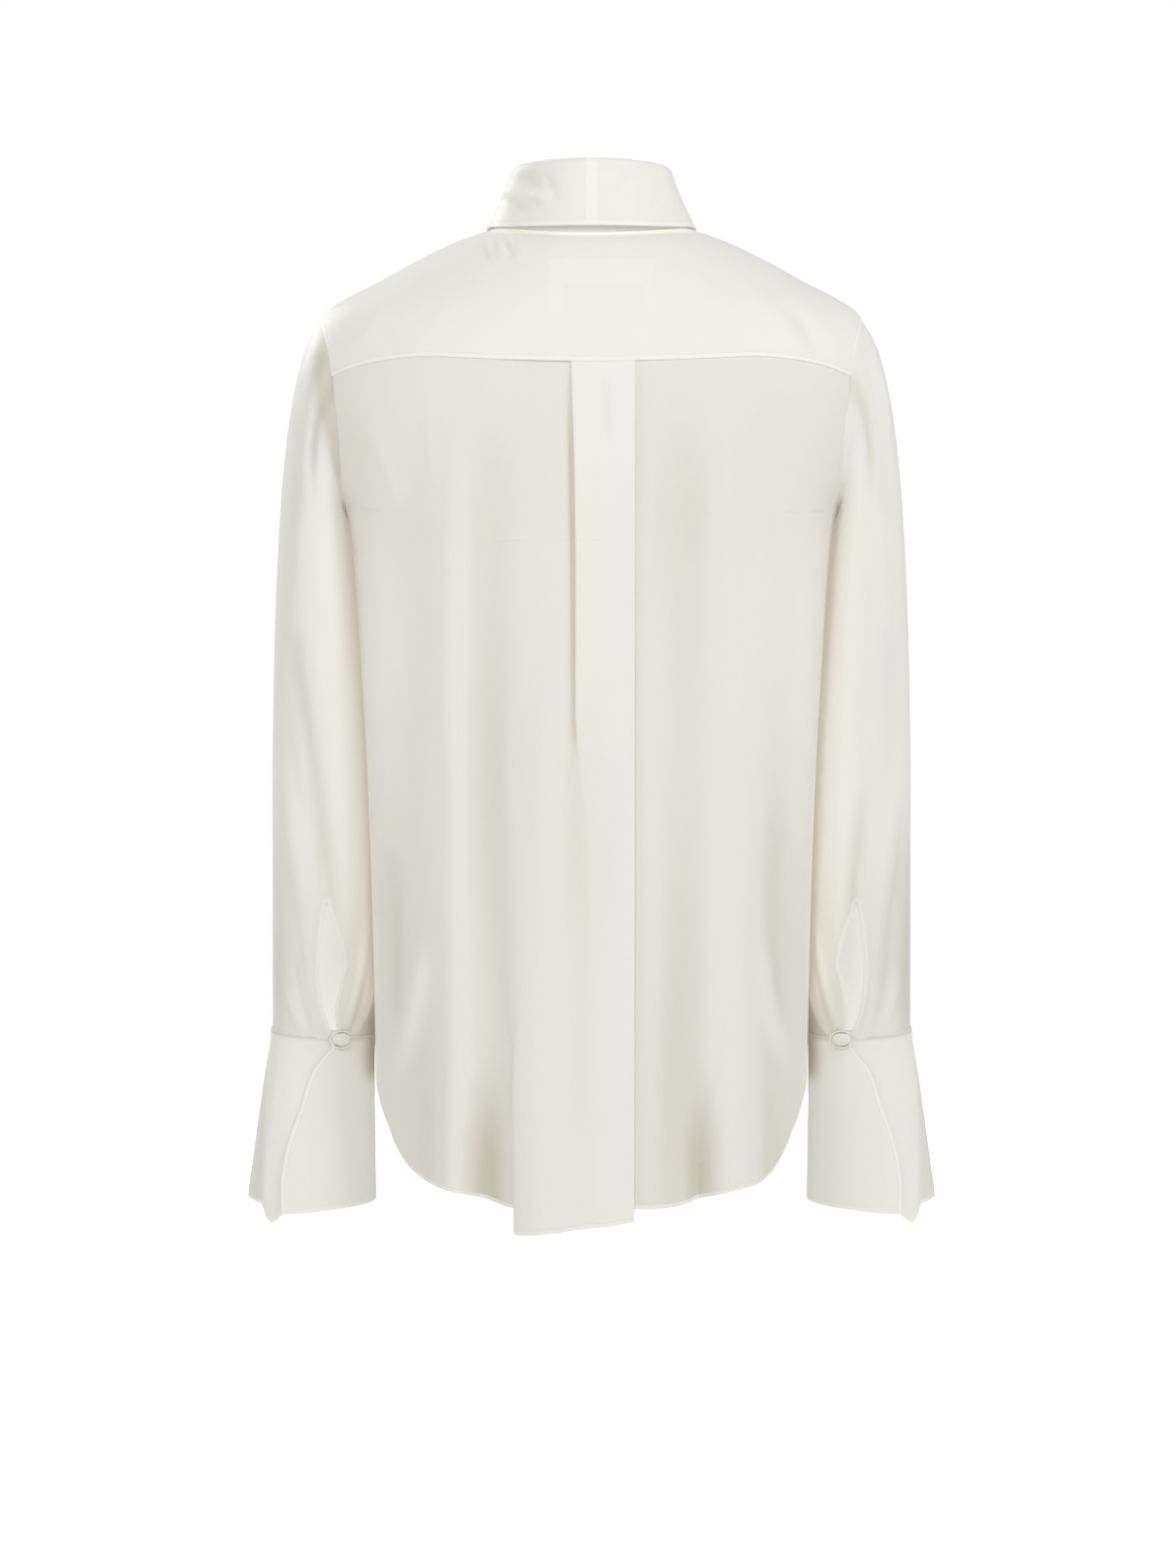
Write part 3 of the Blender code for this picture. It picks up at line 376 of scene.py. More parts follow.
def body_place(angle, level, out=0.0):
    """A point on the body's form, moved out along its normal."""
    return body_point(angle, level) + body_normal(angle, level) * np.asarray(out)[..., None]


def level_at(angle, z):
    """The level at which the body's ring passes through a height, at an angle."""
    angle, z = np.broadcast_arrays(angle, z)
    low = np.zeros(angle.shape)
    high = np.full(angle.shape, len(BODY) - 1.0)
    for _ in range(26):
        middle = (low + high) / 2
        above = body_point(angle, middle)[..., 2] > z
        low = np.where(above, middle, low)
        high = np.where(above, high, middle)
    return (low + high) / 2


def angle_at_x(x, level):
    """The angle, between 0 and 180 degrees, at which a ring has this x."""
    rows = rows_at(BODY, level)
    half_width, squareness = rows[..., 3], rows[..., 6]
    across = np.clip(x / half_width, -1, 1)
    return np.arctan2((1 - abs(across) ** squareness) ** (1 / squareness), across)


def edge_angle(level, inset=0.0):
    """The angle at which a ring meets the armhole, or the side seam below the underarm."""
    return angle_at_x(rows_at(BODY, level)[..., 7] - inset, level)


def seam_level(angle):
    """The level of the yoke's back seam at an angle."""
    from_side = np.minimum(angle, np.pi - angle)
    share = np.clip((YOKE_SEAM_FLAT_ANGLE - from_side) / YOKE_SEAM_FALL_ANGLE, 0, 1)
    return YOKE_SEAM_LEVEL + YOKE_SEAM_DROP * share ** 1.6


def seam_corner_level():
    """The level at which the yoke's back seam runs into the armhole."""
    level = np.array(YOKE_SEAM_LEVEL)
    for _ in range(40):
        level = (level + seam_level(edge_angle(level))) / 2
    return float(level)


def armhole_levels(top):
    """The levels of the rows down an armhole from its top one, closest under the arm."""
    levels = (top, *ARMHOLE_LEVELS[1:])
    steps = np.linspace(0, len(levels) - 1, ARMHOLE_ROWS)
    return np.interp(steps, np.arange(len(levels)), levels)


def painted_fold_shade(folds, full_depth=15.0):
    """How far in the cloth lies, 0 to 1, by how far it stands out: the share of shade painted
    there.
    """
    return np.clip(-folds / full_depth, 0, 1)


def painted_glow_near_sides(from_side, z):
    """How much glow is painted near a side seam for light coming through, by the angle from it and
    the height.
    """
    return eased(1 - from_side / THROUGH_ANGLE) * eased((SIDE_THROUGH_Z - z) / SIDE_THROUGH_RAMP)


def soft_folds(table, x, z, angle):
    """How far the hanging folds stand out at a place on the body."""
    share = eased((SOFT_FOLD_START_Z - z) / (SOFT_FOLD_START_Z - SOFT_FOLD_END_Z))
    height = np.zeros(np.shape(x))
    for top_x, hem_x, top_height, hem_height, half_width in table:
        middle = mixed(top_x, hem_x, share) + FOLD_WAVER * np.sin(z / WAVER_PITCH + top_x)
        strength = mixed(top_height, hem_height, share ** 1.5) * eased(
            (SOFT_FOLD_START_Z - z) / SOFT_FOLD_RAMP)
        strength = strength * (1 + FOLD_SWELL * np.sin(z / SWELL_PITCH + 1.7 * top_x))
        height = height + strength * bell(x - middle, half_width)
    from_side = np.minimum(abs(angle), np.pi - abs(angle))
    return height * eased(from_side / SOFT_FOLD_SIDE_ANGLE)


def fold_profile(tuck, spread, mirrored):
    """A pressed fold across its layers: offsets along the body and shares of its rise."""
    half = LAYER_STEP / 2
    turn = np.linspace(-np.pi / 2, np.pi / 2, FOLD_TURN)
    back = np.linspace(tuck - half, half, FOLD_MIDDLE + 2)[1:-1]
    tucked = np.concatenate((tuck - half + half * np.cos(turn), back, half - half * np.cos(turn)))
    rise = np.concatenate((0.25 + 0.25 * np.sin(turn), np.full(FOLD_MIDDLE, 0.5),
                           0.75 + 0.25 * np.sin(turn)))
    flat = np.linspace(-0.5, 0.5, len(tucked)) * spread
    folded = min(tuck / TUCK_RAMP, 1.0)
    along = mixed(flat, tucked, folded)
    rise = mixed(eased(np.linspace(0, 1, len(rise))), rise, folded)
    if mirrored:
        return -along[::-1], rise[::-1]
    return along, rise


def pleat_row(z):
    """The pleat's columns at one height, from the wearer's left: places x, offsets out, how
    doubled the cloth is there, and how deep its furrow lies, for painted shade and glow."""
    box_top = UNDER_LAYER + 2 * LAYER_STEP
    (hem_x, hem_tuck, hem_lift, hem_stand, hem_spread, _), (
        top_x, top_tuck, top_lift, top_stand, top_spread, top_furrow), (
        long_x, long_tuck, _, long_stand, long_spread, _) = (
        [float(smooth_at(fold, z, column)) for column in range(1, 7)]
        for fold in (HEM_FOLD, TOP_FOLD, LONG_FOLD))
    left_base = UNDER_LAYER * hem_lift
    between_end = mixed(UNDER_LAYER * top_lift, box_top, hem_lift)
    between = between_end + hem_stand
    boxed, before = max(top_lift, hem_lift), BETWEEN_DOUBLED * hem_lift
    box_left = mixed(0.0, box_top, boxed) + top_stand
    box_right = box_top + long_stand
    places, offsets, doubled = [], [], []
    for place, tuck, spread, low, high, single, double, mirrored in (
            (hem_x, hem_tuck, hem_spread, left_base, between, 0.0, before, False),
            (top_x, top_tuck, top_spread, between_end, box_left, before, boxed, False),
            (long_x, long_tuck, long_spread, UNDER_LAYER, box_right, 0.0, 1.0, True)):
        along, rise = fold_profile(max(tuck, 0.0), spread, mirrored)
        places.append(place - along)
        offsets.append(mixed(low, high, rise))
        doubled.append(mixed(single, double, rise))
    share = np.linspace(0, 1, BETWEEN_FOLDS + 2)[1:-1]
    nearing = 1 - (1 - share) ** 1.35
    x = np.concatenate((places[0], mixed(places[0][-1], places[1][0], nearing), places[1],
                        mixed(places[1][-1], places[2][0], share), places[2]))
    offset = np.concatenate((offsets[0], mixed(between, between_end, eased(share)), offsets[1],
                             mixed(box_left, box_right, eased(share)), offsets[2]))
    doubled = np.concatenate((doubled[0], np.full(BETWEEN_FOLDS, before), doubled[1],
                              mixed(boxed, 1.0, share), doubled[2]))
    before_box = np.arange(len(x)) < len(places[0]) + BETWEEN_FOLDS
    folded = min(top_tuck / TUCK_RAMP, 1.0)
    beside = np.where(before_box, 1.0, 1.0 - folded)
    half_width = mixed(OPEN_FURROW_HALF_WIDTH, FURROW_HALF_WIDTH, folded)
    furrow = beside * top_furrow * bell(x - top_x - 1.5 * folded, half_width)
    rolled = beside * 0.4 * folded * top_furrow * bell(x - top_x - 9.0, 4.0)
    return x, offset + rolled - furrow, doubled, np.minimum(furrow / 2.0, 1.0)


def pleat_hem_drop(count_before, count):
    """How much lower the box hangs at the hem, column by column of the pleat."""
    fold = 2 * FOLD_TURN + FOLD_MIDDLE
    drop = np.concatenate((np.linspace(0.0, 1.0, fold) ** 1.5,
                           1.05 - 0.55 * np.linspace(0.2, 1.0, count - 2 * fold) ** 1.5,
                           0.5 * (1 - np.linspace(0.0, 1.0, fold)) ** 1.3))
    return np.concatenate((np.zeros(count_before), drop, np.zeros(count_before))) * PLEAT_HEM_DROP


def hem_z(angle, column):
    from_side = np.degrees(np.minimum(abs(angle), np.pi - abs(angle)))
    return smooth_at(HEM, from_side, column)


def hem_gathered(share):
    """A share down a panel, with the last rows drawn closer for the hem."""
    return share + 0.06 * np.sin(np.pi * share) * share


def back_points(fold_strength, side_rows=180, side_columns=52):
    """The back panel, row by row from under the yoke's seam to the hem, from the wearer's left,
    and its tones."""
    corner = seam_corner_level()
    corner_angle = float(edge_angle(np.array(corner)))
    corner_z = float(body_point(corner_angle, corner)[2])
    underarm_z, side_hem_z = BODY[int(UNDERARM_LEVEL), 0], HEM[0, 1]
    down_armhole = armhole_levels(corner)
    armhole_z = body_point(edge_angle(down_armhole), down_armhole)[:, 2]
    side_z = mixed(underarm_z, side_hem_z, hem_gathered(np.linspace(0, 1, side_rows + 1)[1:]))
    side_levels = level_at(0.0, side_z)
    edges = zip((*armhole_z, *side_z), (*down_armhole, *side_levels))
    points, tones = [], {tone: [] for tone in TONES}
    flat, aside = np.zeros(side_columns), np.arange(side_columns + 1) / side_columns
    for edge_z, edge_level in edges:
        edge_share = (corner_z - edge_z) / (corner_z - side_hem_z)
        start = float(edge_angle(np.array(edge_level)))
        centre_z = mixed(BODY[int(YOKE_SEAM_LEVEL), 1] + LAP, HEM[-1, 1], edge_share)
        pleat_x, pleat_offset, doubled, furrow = pleat_row(centre_z)
        centre_level = level_at(np.pi / 2, centre_z)
        pleat_angle = angle_at_x(pleat_x, centre_level)
        left = mixed(start, pleat_angle[0], aside[:-1])
        right = mixed(pleat_angle[-1], np.pi - start, aside[1:])
        angle = np.concatenate((left, pleat_angle, right))
        left_x, right_x = (body_point(half, centre_level)[:, 0] for half in (left, right))
        left_fade = eased(1 - (left_x - pleat_x[0]) / PLEAT_BLEND)
        right_fade = eased(1 + (right_x - pleat_x[-1]) / PLEAT_BLEND)
        out = np.concatenate((pleat_offset[0] * left_fade, pleat_offset,
                              pleat_offset[-1] * right_fade))
        boxed, furrowed = (np.concatenate((flat, tone, flat)) for tone in (doubled, furrow))
        from_side = np.minimum(angle, np.pi - angle)
        inward = (from_side - start) / (np.pi / 2 - start)
        seam_angle = mixed(corner_angle, np.pi / 2, inward)
        hem_angle = mixed(0.0, np.pi / 2, inward)
        seam_z = body_point(seam_angle, seam_level(seam_angle))[:, 2] + LAP
        right_drop = RIGHT_HEM_DROP * (angle > np.pi / 2) * bell(
            np.degrees(hem_angle) - RIGHT_HEM_DROP_DEGREES, RIGHT_HEM_DROP_HALF)
        low_z = hem_z(hem_angle, 1) - pleat_hem_drop(side_columns, len(pleat_x)) - right_drop
        z = mixed(seam_z, low_z, edge_share)
        level = level_at(angle, z)
        x = body_point(angle, level)[:, 0]
        folds = soft_folds(BACK_SOFT_FOLDS, x, z, angle) + creases(BACK_CREASES, x, z)
        folds = folds * eased((from_side - start) / ARMHOLE_FADE)
        out = out + folds * fold_strength
        past_seam = seam_z - z
        sewn = eased(past_seam / SEWN_RAMP)
        out = mixed(np.minimum(0.6 * out, 0.1), out, sewn) + lapped(past_seam)
        points.append(body_place(angle, level, out))
        # Painted shade beside the box, under the yoke and in the folds and furrow; painted glow
        # near the side seams, on the flanks and in the furrow.
        beside_box = BESIDE_BOX_SHADE * bell(x - pleat_x[-1] + 6.0, 9.0) * (x < pleat_x.min() + 0.5)
        under_yoke = UNDER_YOKE_SHADE * (1 - boxed) * eased(
            (z - UNDER_YOKE_LOW_Z) / UNDER_YOKE_RAMP)
        between = painted_glow_near_sides(from_side, z)
        flank = FLANK_GLOW * bell(abs(x) - FLANK_X, FLANK_HALF_WIDTH) * bell(
            z - FLANK_Z, FLANK_HALF_HEIGHT)
        tones["doubled"].append(boxed)
        tones["hollow"].append(np.clip(
            painted_fold_shade(folds) + furrowed + beside_box * sewn + under_yoke, 0, 1))
        tones["through"].append(np.maximum(np.maximum(between, flank), furrowed))
    return np.array(points), tones


def yoke_points(rows=60, armhole_columns=44, seam_columns=150):
    """The yoke, row by row from the neckline out, from the front seam over the back and round,
    and its tones."""
    corner = seam_corner_level()
    share = np.linspace(-1, 1, 2 * armhole_columns + 1)
    outer_level = SHOULDER_LEVEL + share ** 2 * (
        np.where(share < 0, FRONT_YOKE_LEVEL, corner) - SHOULDER_LEVEL)
    outer_angle = edge_angle(outer_level) * np.sign(share)
    corner_angle = outer_angle[-1]
    neck_angle = mixed(-FRONT_YOKE_NECK_ANGLE, BACK_YOKE_NECK_ANGLE, (share + 1) / 2)
    seam_angle = np.linspace(corner_angle, np.pi - corner_angle, seam_columns + 1)[1:-1]
    seam_neck = np.linspace(neck_angle[-1], np.pi - neck_angle[-1], seam_columns + 1)[1:-1]
    neck = np.concatenate((neck_angle, seam_neck, np.pi - neck_angle[::-1]))
    outer = np.concatenate((outer_angle, seam_angle, np.pi - outer_angle[::-1]))
    level = np.concatenate((outer_level, seam_level(seam_angle), outer_level[::-1]))
    down = np.linspace(0, 1, rows + 1)[:, None]
    angle, level = mixed(neck, outer, down), mixed(0.0, level, down)
    place = body_point(angle, level)
    behind = eased(np.sin(angle) * 4)
    out = creases(YOKE_CREASES, place[..., 0], place[..., 2])
    out = out * behind * np.sin(np.pi * down) ** 0.4
    # Glow painted on the neckline's strip beneath the collar's fall, where the collar shades it.
    glow_beneath_collar = eased(1 - down / 0.09) * eased(np.sin(angle) * 3)
    return body_place(angle, level, out), {"through": glow_beneath_collar}


def front_rows(side_rows=150):
    """The fronts' rows: levels at the armhole and the centre, and a share of the way down."""
    rows = [(level, level, 0.0) for level in np.linspace(0, FRONT_YOKE_LEVEL, 24)]
    down_armhole = armhole_levels(ARMHOLE_LEVELS[0])
    above = np.linspace(FRONT_YOKE_LEVEL, ARMHOLE_LEVELS[0], 5)[1:-1]
    levels = np.concatenate((above, down_armhole))
    for index, level in enumerate(levels):
        centre = mixed(FRONT_YOKE_LEVEL, UNDERARM_LEVEL, (index + 1) / len(levels))
        rows.append((level, centre, 0.0))
    for row in range(1, side_rows + 1):
        rows.append((UNDERARM_LEVEL, UNDERARM_LEVEL, hem_gathered(row / side_rows)))
    return rows


def front_level(angle, level, hem_share):
    """A front row's level at an angle: its own ring, lowered towards the hem."""
    start_z = body_point(angle, level)[..., 2]
    return level_at(angle, mixed(start_z, hem_z(angle, 2), hem_share))


def front_points(side, centre_x, fold_strength, columns=88):
    """A front, row by row from the neckline to the hem, from the armhole to the centre.

    side is 1 for the wearer's left. centre_x is how far past the centre line it runs.
    """
    points, tones = [], {"hollow": [], "through": []}
    lap_angle = LAP / LAP_RADIUS
    yoke_end = float(edge_angle(np.array(FRONT_YOKE_LEVEL)))
    for edge_level, centre_level, hem_share in front_rows():
        if edge_level <= FRONT_YOKE_LEVEL:
            start = mixed(FRONT_YOKE_NECK_ANGLE, yoke_end, edge_level / FRONT_YOKE_LEVEL)
            start = start - lap_angle
        else:
            start = float(edge_angle(np.array(edge_level))) - lap_angle * max(
                0.0, 1 - (edge_level - FRONT_YOKE_LEVEL) / 0.6)
        start = start - UNDERARM_TURN * eased(np.array(edge_level - UNDERARM_TURN_LEVEL))
        end = float(angle_at_x(-centre_x, centre_level))
        inward = np.linspace(0, 1, columns + 1)
        angle = -mixed(start, end, inward)
        row_level = mixed(edge_level, centre_level, eased(inward / ROW_SPREAD))
        level = front_level(angle, row_level, hem_share)
        place = body_point(angle, level)
        x, z = side * place[:, 0], place[:, 2]
        out = soft_folds(FRONT_SOFT_FOLDS, x, z, angle) + creases(FRONT_CREASES, x, z)
        from_edge = inward * (end - start)
        free = eased((place[:, 0] - BESIDE_BAND_X) / BESIDE_BAND_RAMP) * eased(
            from_edge / ARMHOLE_FADE)
        under = lapped(from_edge * LAP_RADIUS)
        points.append(body_place(angle, level, out * free * fold_strength + under))
        # Painted shade in the folds, and painted glow near the side seam.
        tones["hollow"].append(painted_fold_shade(out * free))
        tones["through"].append(painted_glow_near_sides(-angle, z))
    return on_side(points, side), tones


# ---------------------------------------------------------------- the front band and buttons

BAND_HALF_WIDTH = 14.0
BAND_LIFT = 1.5
BAND_EDGE_DROP = 0.9
BAND_EDGE_TURN = 1.6
BAND_TOP_LEVEL = 0.25
# How far past the centre line the fronts run under the band.
LEFT_FRONT_PAST_X = 11.0
RIGHT_FRONT_PAST_X = -12.0
BUTTON_COUNT = 7
FIRST_BUTTON_Z = -96.0
BUTTON_PITCH = 84.0
BUTTON_THICKNESS = 3.4
BUTTON_GAP = 0.5


def band_points(columns=20):
    """The front band, laid on the fronts' rows and moved out, its edges turned in."""
    x = np.linspace(-BAND_HALF_WIDTH, BAND_HALF_WIDTH, columns + 1)
    out = BAND_LIFT - BAND_EDGE_DROP * eased(
        (abs(x) - BAND_HALF_WIDTH + BAND_EDGE_TURN) / BAND_EDGE_TURN)
    points = []
    for _, centre_level, hem_share in front_rows():
        row_level = max(centre_level, BAND_TOP_LEVEL)
        angle = -angle_at_x(x, row_level)
        points.append(body_place(angle, front_level(angle, row_level, hem_share), out))
    return np.array(points)


# ---------------------------------------------------------------- the collar

# The collar's rings: the stand's foot and top, the roll of the fold, and the fall's upper part.
STAND_FOOT = np.array((-4.0, -12.0, -73.4, 72.1, 59.8, 80.6))
STAND_TOP = np.array((38.7, 39.8, -41.0, 54.1, 51.0, 73.5))
ROLL_START = np.array((40.6, 41.7, -39.1, 53.6, 50.6, 73.0))
ROLL_TOP = np.array((43.2, 44.9, -36.5, 56.2, 53.2, 76.0))
FALL_START = np.array((41.0, 42.6, -38.5, 58.9, 55.8, 79.0))
STAND_OVERLAP = math.radians(9)
STAND_LAP_LIFT = 2.0
STAND_LAP_ANGLE = math.radians(45)
STAND_LAP_RAMP = math.radians(27)

FALL_EDGE = np.array((
    # angle at the fold, then the lower edge's x, y and z, from past the centre back to the point
    (116, -34.5, 58.8, -5.2),
    (90, 0, 65.8, -5.4),
    (64, 34.5, 58.8, -5.2),
    (36, 62, 40, -3.9),
    (10, 75.8, 12, -1.8),
    (-14, 77, -19, -5.3),
    (-36, 71.5, -52, -24),
    (-58, 61, -80, -58),
    (-73, 53, -96.5, -85),
    (-86, 46, -105, -101),
))
FALL_BULGE = -0.9
# The two halves of the fall end this near the centre line.
FALL_CENTRE_X = 0.005
COLLAR_CREASES = (
    (55, 38, 38, 18, -2.8, 6.5, 0),
    (64, 24, 46, 0, -2.4, 4.2, -2),
    (50, 20, 28, 8, 1.8, 4, 2),
    (36, 36, 26, 12, -1.4, 4, 0),
    (66, 34, 60, 6, 1.4, 4, 2),
    (-34, 36, -18, 6, -0.9, 5, -3),
    (-66, 32, -60, 2, -1.1, 2.6, 1),
    (-58, 36, -52, 2, 0.9, 2.6, 1),
    (-50, 30, -45, 0, -0.6, 2.6, 1),
)

LABEL_HALF_WIDTH = 39.0
LABEL_TOP_LEVEL = 1.05
LABEL_BOTTOM_LEVEL = 2.6
LABEL_X = -8.0
LABEL_DEPTH = 1.3


def stand_points(columns=220, rows=22):
    """The stand, from under the left front end round the back to the lapped right end."""
    start, end = -np.pi / 2 - STAND_OVERLAP, 1.5 * np.pi + STAND_OVERLAP
    angle = np.linspace(start, end, columns + 1)
    lift = STAND_LAP_LIFT * eased((angle - (end - STAND_LAP_ANGLE)) / STAND_LAP_RAMP)
    flat = np.stack((np.cos(angle), np.sin(angle), np.zeros(columns + 1)), -1)
    points = []
    for row in range(rows + 1):
        ring = mixed(STAND_FOOT, STAND_TOP, row / rows)
        points.append(ring_point(angle, ring) + flat * lift[:, None])
    return np.array(points)


def fall_points(side, columns=110, roll_rows=14, fall_rows=44):
    """Half of the turned-down collar, from the roll inside the fold to its lower edge."""
    place = np.linspace(1, len(FALL_EDGE) - 1, columns + 1)
    edge = rows_at(FALL_EDGE, place)
    angle, low = np.radians(edge[:, 0]), edge[:, 1:]
    roll = np.array((ROLL_START, ROLL_TOP, FALL_START))
    rows = [ring_point(angle, rows_at(roll, position))
            for position in np.linspace(0, 2, roll_rows + 1)]
    top = rows[-1]
    outward = np.stack((np.cos(angle), np.sin(angle), np.zeros(columns + 1)), -1)
    for share in np.linspace(0, 1, fall_rows + 1)[1:]:
        point = mixed(top, low, share)
        bulge = FALL_BULGE * 4 * share * (1 - share) * eased(share * 6)
        behind = eased(np.sin(angle) * 3) * eased(share * 4) * eased((1 - share) * 5)
        bulge = bulge + creases(COLLAR_CREASES, side * point[:, 0], point[:, 2]) * behind
        rows.append(point + outward * bulge[:, None])
    points = np.array(rows)
    points[:, 0, 0] = FALL_CENTRE_X
    points[:, :, 0] = np.maximum(points[:, :, 0], FALL_CENTRE_X)
    return on_side(points, side)


def label_points(columns=40, rows=24):
    """The blank label, laid on the inside of the yoke."""
    x = np.linspace(-LABEL_HALF_WIDTH, LABEL_HALF_WIDTH, columns + 1)[None, :] + LABEL_X
    level = np.linspace(LABEL_TOP_LEVEL, LABEL_BOTTOM_LEVEL, rows + 1)[:, None]
    return body_place(angle_at_x(x, level), level, np.full((rows + 1, columns + 1), -LABEL_DEPTH))


# ---------------------------------------------------------------- sleeves and cuffs

# A sleeve as rings from the armhole to the wrist: the ring's end next to the body and its outer
# end, its middle and half depth, how square it is, and how far forward the inner end lies.
SLEEVE = np.array((
    # inner_x, inner_z, outer_x, outer_z, middle_y, half_depth, squareness, forward
    (181, -215, 199.5, -67.3, 0, 70, 2.2, 0),
    (182.6, -215.3, 205.5, -76, 0, 70, 2.2, 0),
    (182.4, -216.8, 212, -90.5, 0, 69.5, 2.2, 0),
    (181.4, -219.5, 218.2, -112, 0, 69, 2.2, 2),
    (180.3, -224, 224, -143, -0.5, 68, 2.2, 5),
    (179.2, -231.5, 228.5, -182, -1, 67, 2.2, 9),
    (178, -243.5, 231.4, -222, -1.5, 66, 2.2, 14),
    (175.8, -268, 233.4, -260, -2, 64, 2.2, 19),
    (172.9, -310, 235.2, -308, -3, 60, 2.2, 24),
    (169.6, -360, 236.3, -360, -4, 55, 2.2, 28),
    (166.8, -420, 237, -420, -5, 50, 2.2, 30),
    (164.9, -480, 237.3, -480, -6, 45, 2.2, 30),
    (163.5, -540, 237.6, -540, -7, 40, 2.2, 29),
    (162.8, -585, 237.6, -582, -8, 35, 2.2, 27),
    (162.6, -603, 237.6, -598, -8, 31.5, 2.1, 26),
))
CAP_STATIONS = 3.0
# Behind, where the body presses on the sleeve, its ring is squarer and lies less far forward,
# from one station to another.
PRESSED_SQUARENESS = 1.4
PRESSED_BACK = 0.6
PRESSED_FROM, PRESSED_RAMP = 2.5, 4.5
PRESSED_TO, PRESSED_FADE = 14.0, 2.2
WRIST_STATION = 12.0
# How far under the body's edge the sleeve is sewn in, as a share of the lap.
SLEEVE_TUCK = 0.6
SLEEVE_FOLD_STATIONS = (3.0, 6.0, 10.0, 12.5, 14.0)
SLEEVE_SOFT_FOLDS = np.array((
    # angle, height at the cap, the elbow and the wrist, half width, in degrees and millimetres
    (30, 1, 2, -1.5, 16),
    (62, -1, -0.8, 1, 15),
    (128, 0.5, 1.6, -1.6, 14),
    (215, -0.5, -1.5, 1.2, 20),
    (262, 0.8, 2, -1.6, 18),
    (305, -1, -2.4, 1.4, 18),
))
# Millimetres of cloth for each degree round the sleeve.
AROUND = 0.66
# How far in a fold of the sleeve lies to take the full painted shade.
SLEEVE_FULL_SHADE_DEPTH = 7.0
# How much shade is painted on the cap beside the seam behind, and on the outer end of the lower
# sleeve, on the wearer's left (1) and right (-1), and how much on the back of the forearm.
SEAM_SHADE = {1: 1.25, -1: 0.12}
SEAM_SHADE_STATION, SEAM_SHADE_HALF = 0.9, 1.1
OUTER_SHADE = {1: 0.15, -1: 0.6}
OUTER_SHADE_Z, OUTER_SHADE_RAMP = -425.0, 60.0
FOREARM_SHADE = 0.24
FOREARM_Z, FOREARM_HALF_HEIGHT = -545.0, 62.0
# Creases on the sleeve, by degrees round it and height.
SLEEVE_CREASES = (
    # angle0, z0, angle1, z1, height, half_width, bow
    (110, -612, 146, -505, 2.2, 2.8, 3),
    (116, -612, 158, -525, -1.6, 2.4, 2),
    (120, -610, 174, -548, 2, 2.6, 2),
    (92, -612, 70, -505, 1.7, 3, -2),
    (84, -612, 54, -530, -1.4, 3, -2),
    (76, -610, 38, -548, 1.4, 3, -2),
    (96, -470, 99, -503, 1.2, 2.4, 0),
    (44, -380, 90, -560, 3, 8, 3),
    (70, -200, 52, -330, 2, 8, -3),
    (30, -95, 52, -170, 1.4, 4, 3),
    (72, -85, 90, -215, -3.6, 5, 2),
    (255, -590, 240, -500, 1.4, 4, 2),
    (285, -590, 300, -510, 1.4, 4, -2),
    (230, -430, 255, -340, 1.3, 6, 3),
    (315, -110, 300, -190, -1.3, 5, 3),
)

LEFT_SLEEVE_CREASES = (
    (46, -270, 118, -585, -3.2, 7.5, -5.5),
    (86, -300, 120, -400, 1.6, 7, 0),
)
RIGHT_SLEEVE_CREASES = (
    (94, -400, 114, -570, -2.8, 6, 0),
    (38, -415, 74, -615, -2.8, 7, 0),
)

# The slit at the back of the lower sleeve: how wide it stands open, and the angle of its middle.
SLIT = np.array((
    # z, width, angle
    (-502, 0, 98),
    (-513, 5.5, 99),
    (-525, 11.5, 101),
    (-539, 16, 102),
    (-550, 17.5, 102),
    (-562, 14, 100),
    (-582, 8.5, 99),
    (-603, 4, 104),
))
SLIT_RADIUS = 37.0
BINDING_WIDTH = 3.2
BINDING_LIFT = 0.75
# The binding's turn over the slit's top: how far aside and how far up.
BINDING_TOP = ((-2.2, -0.5), (0.0, 1.2), (2.2, -0.5))

CUFF = np.array((
    # inner_x, outer_x, middle_y, half_depth, forward, flap_angle, under_angle
    (162.8, 237.6, -8, 31.5, 26, 108, 460),
    (163.3, 241.5, -8, 34.5, 25, 84, 461),
    (163, 245.5, -8, 38, 24, 75, 455),
    (162.6, 249.2, -8.5, 41.5, 23, 66, 446),
    (162.2, 252.6, -9, 45, 22, 62.5, 436),
    (161.8, 255.9, -9, 48, 21, 65.5, 430),
))
CUFF_TOP_Z = -600.6
CUFF_BACK_DIP = 4.2
CUFF_HEM = np.array((
    # angle from the outer end and the hem's height there
    (0, -722),
    (60, -733),
    (120, -730),
    (180, -726),
    (270, -729),
    (360, -722),
    (401, -726),
    (407, -736),
    (414, -739.5),
    (427, -733),
    (470, -731),
))
FLAP_LIFT = 1.5
UNDER_LIFT = -1.2
LAP_SHARE = 0.16
CUFF_SQUARENESS = 2.1
CUFF_TOP_TILT = 2.5
CUFF_TOP_LIFT = 0.9
# The cloth between body and wrist is painted in shade from here down. Above it the glow painted
# for light coming through returns, and the painted shade runs out.
WRIST_SHADE_Z = -598.0
WRIST_GLOW_RAMP = 45.0
WRIST_SHADE_RAMP = 25.0
# How far round its outer end the flare's hem turns from the light, how much shade is painted
# there, and the painted shadow line under the wrist seam, as a share of the cuff.
CUFF_TURN = 0.66
CUFF_SHADE = 0.42
SEAM_SHADOW = 0.9
SEAM_SHADOW_SHARE = 0.012

CUFF_BUTTON_ANGLE = math.radians(110)
CUFF_BUTTON_HALF = (7.3, 2.6, 4.8)
CUFF_BUTTON_Z = -605.0
CUFF_BUTTON_STAND = 2.3
LOOP_TUBE = 0.7
LOOP_GROWTH = 1.4
LOOP_DEPTH = 0.6


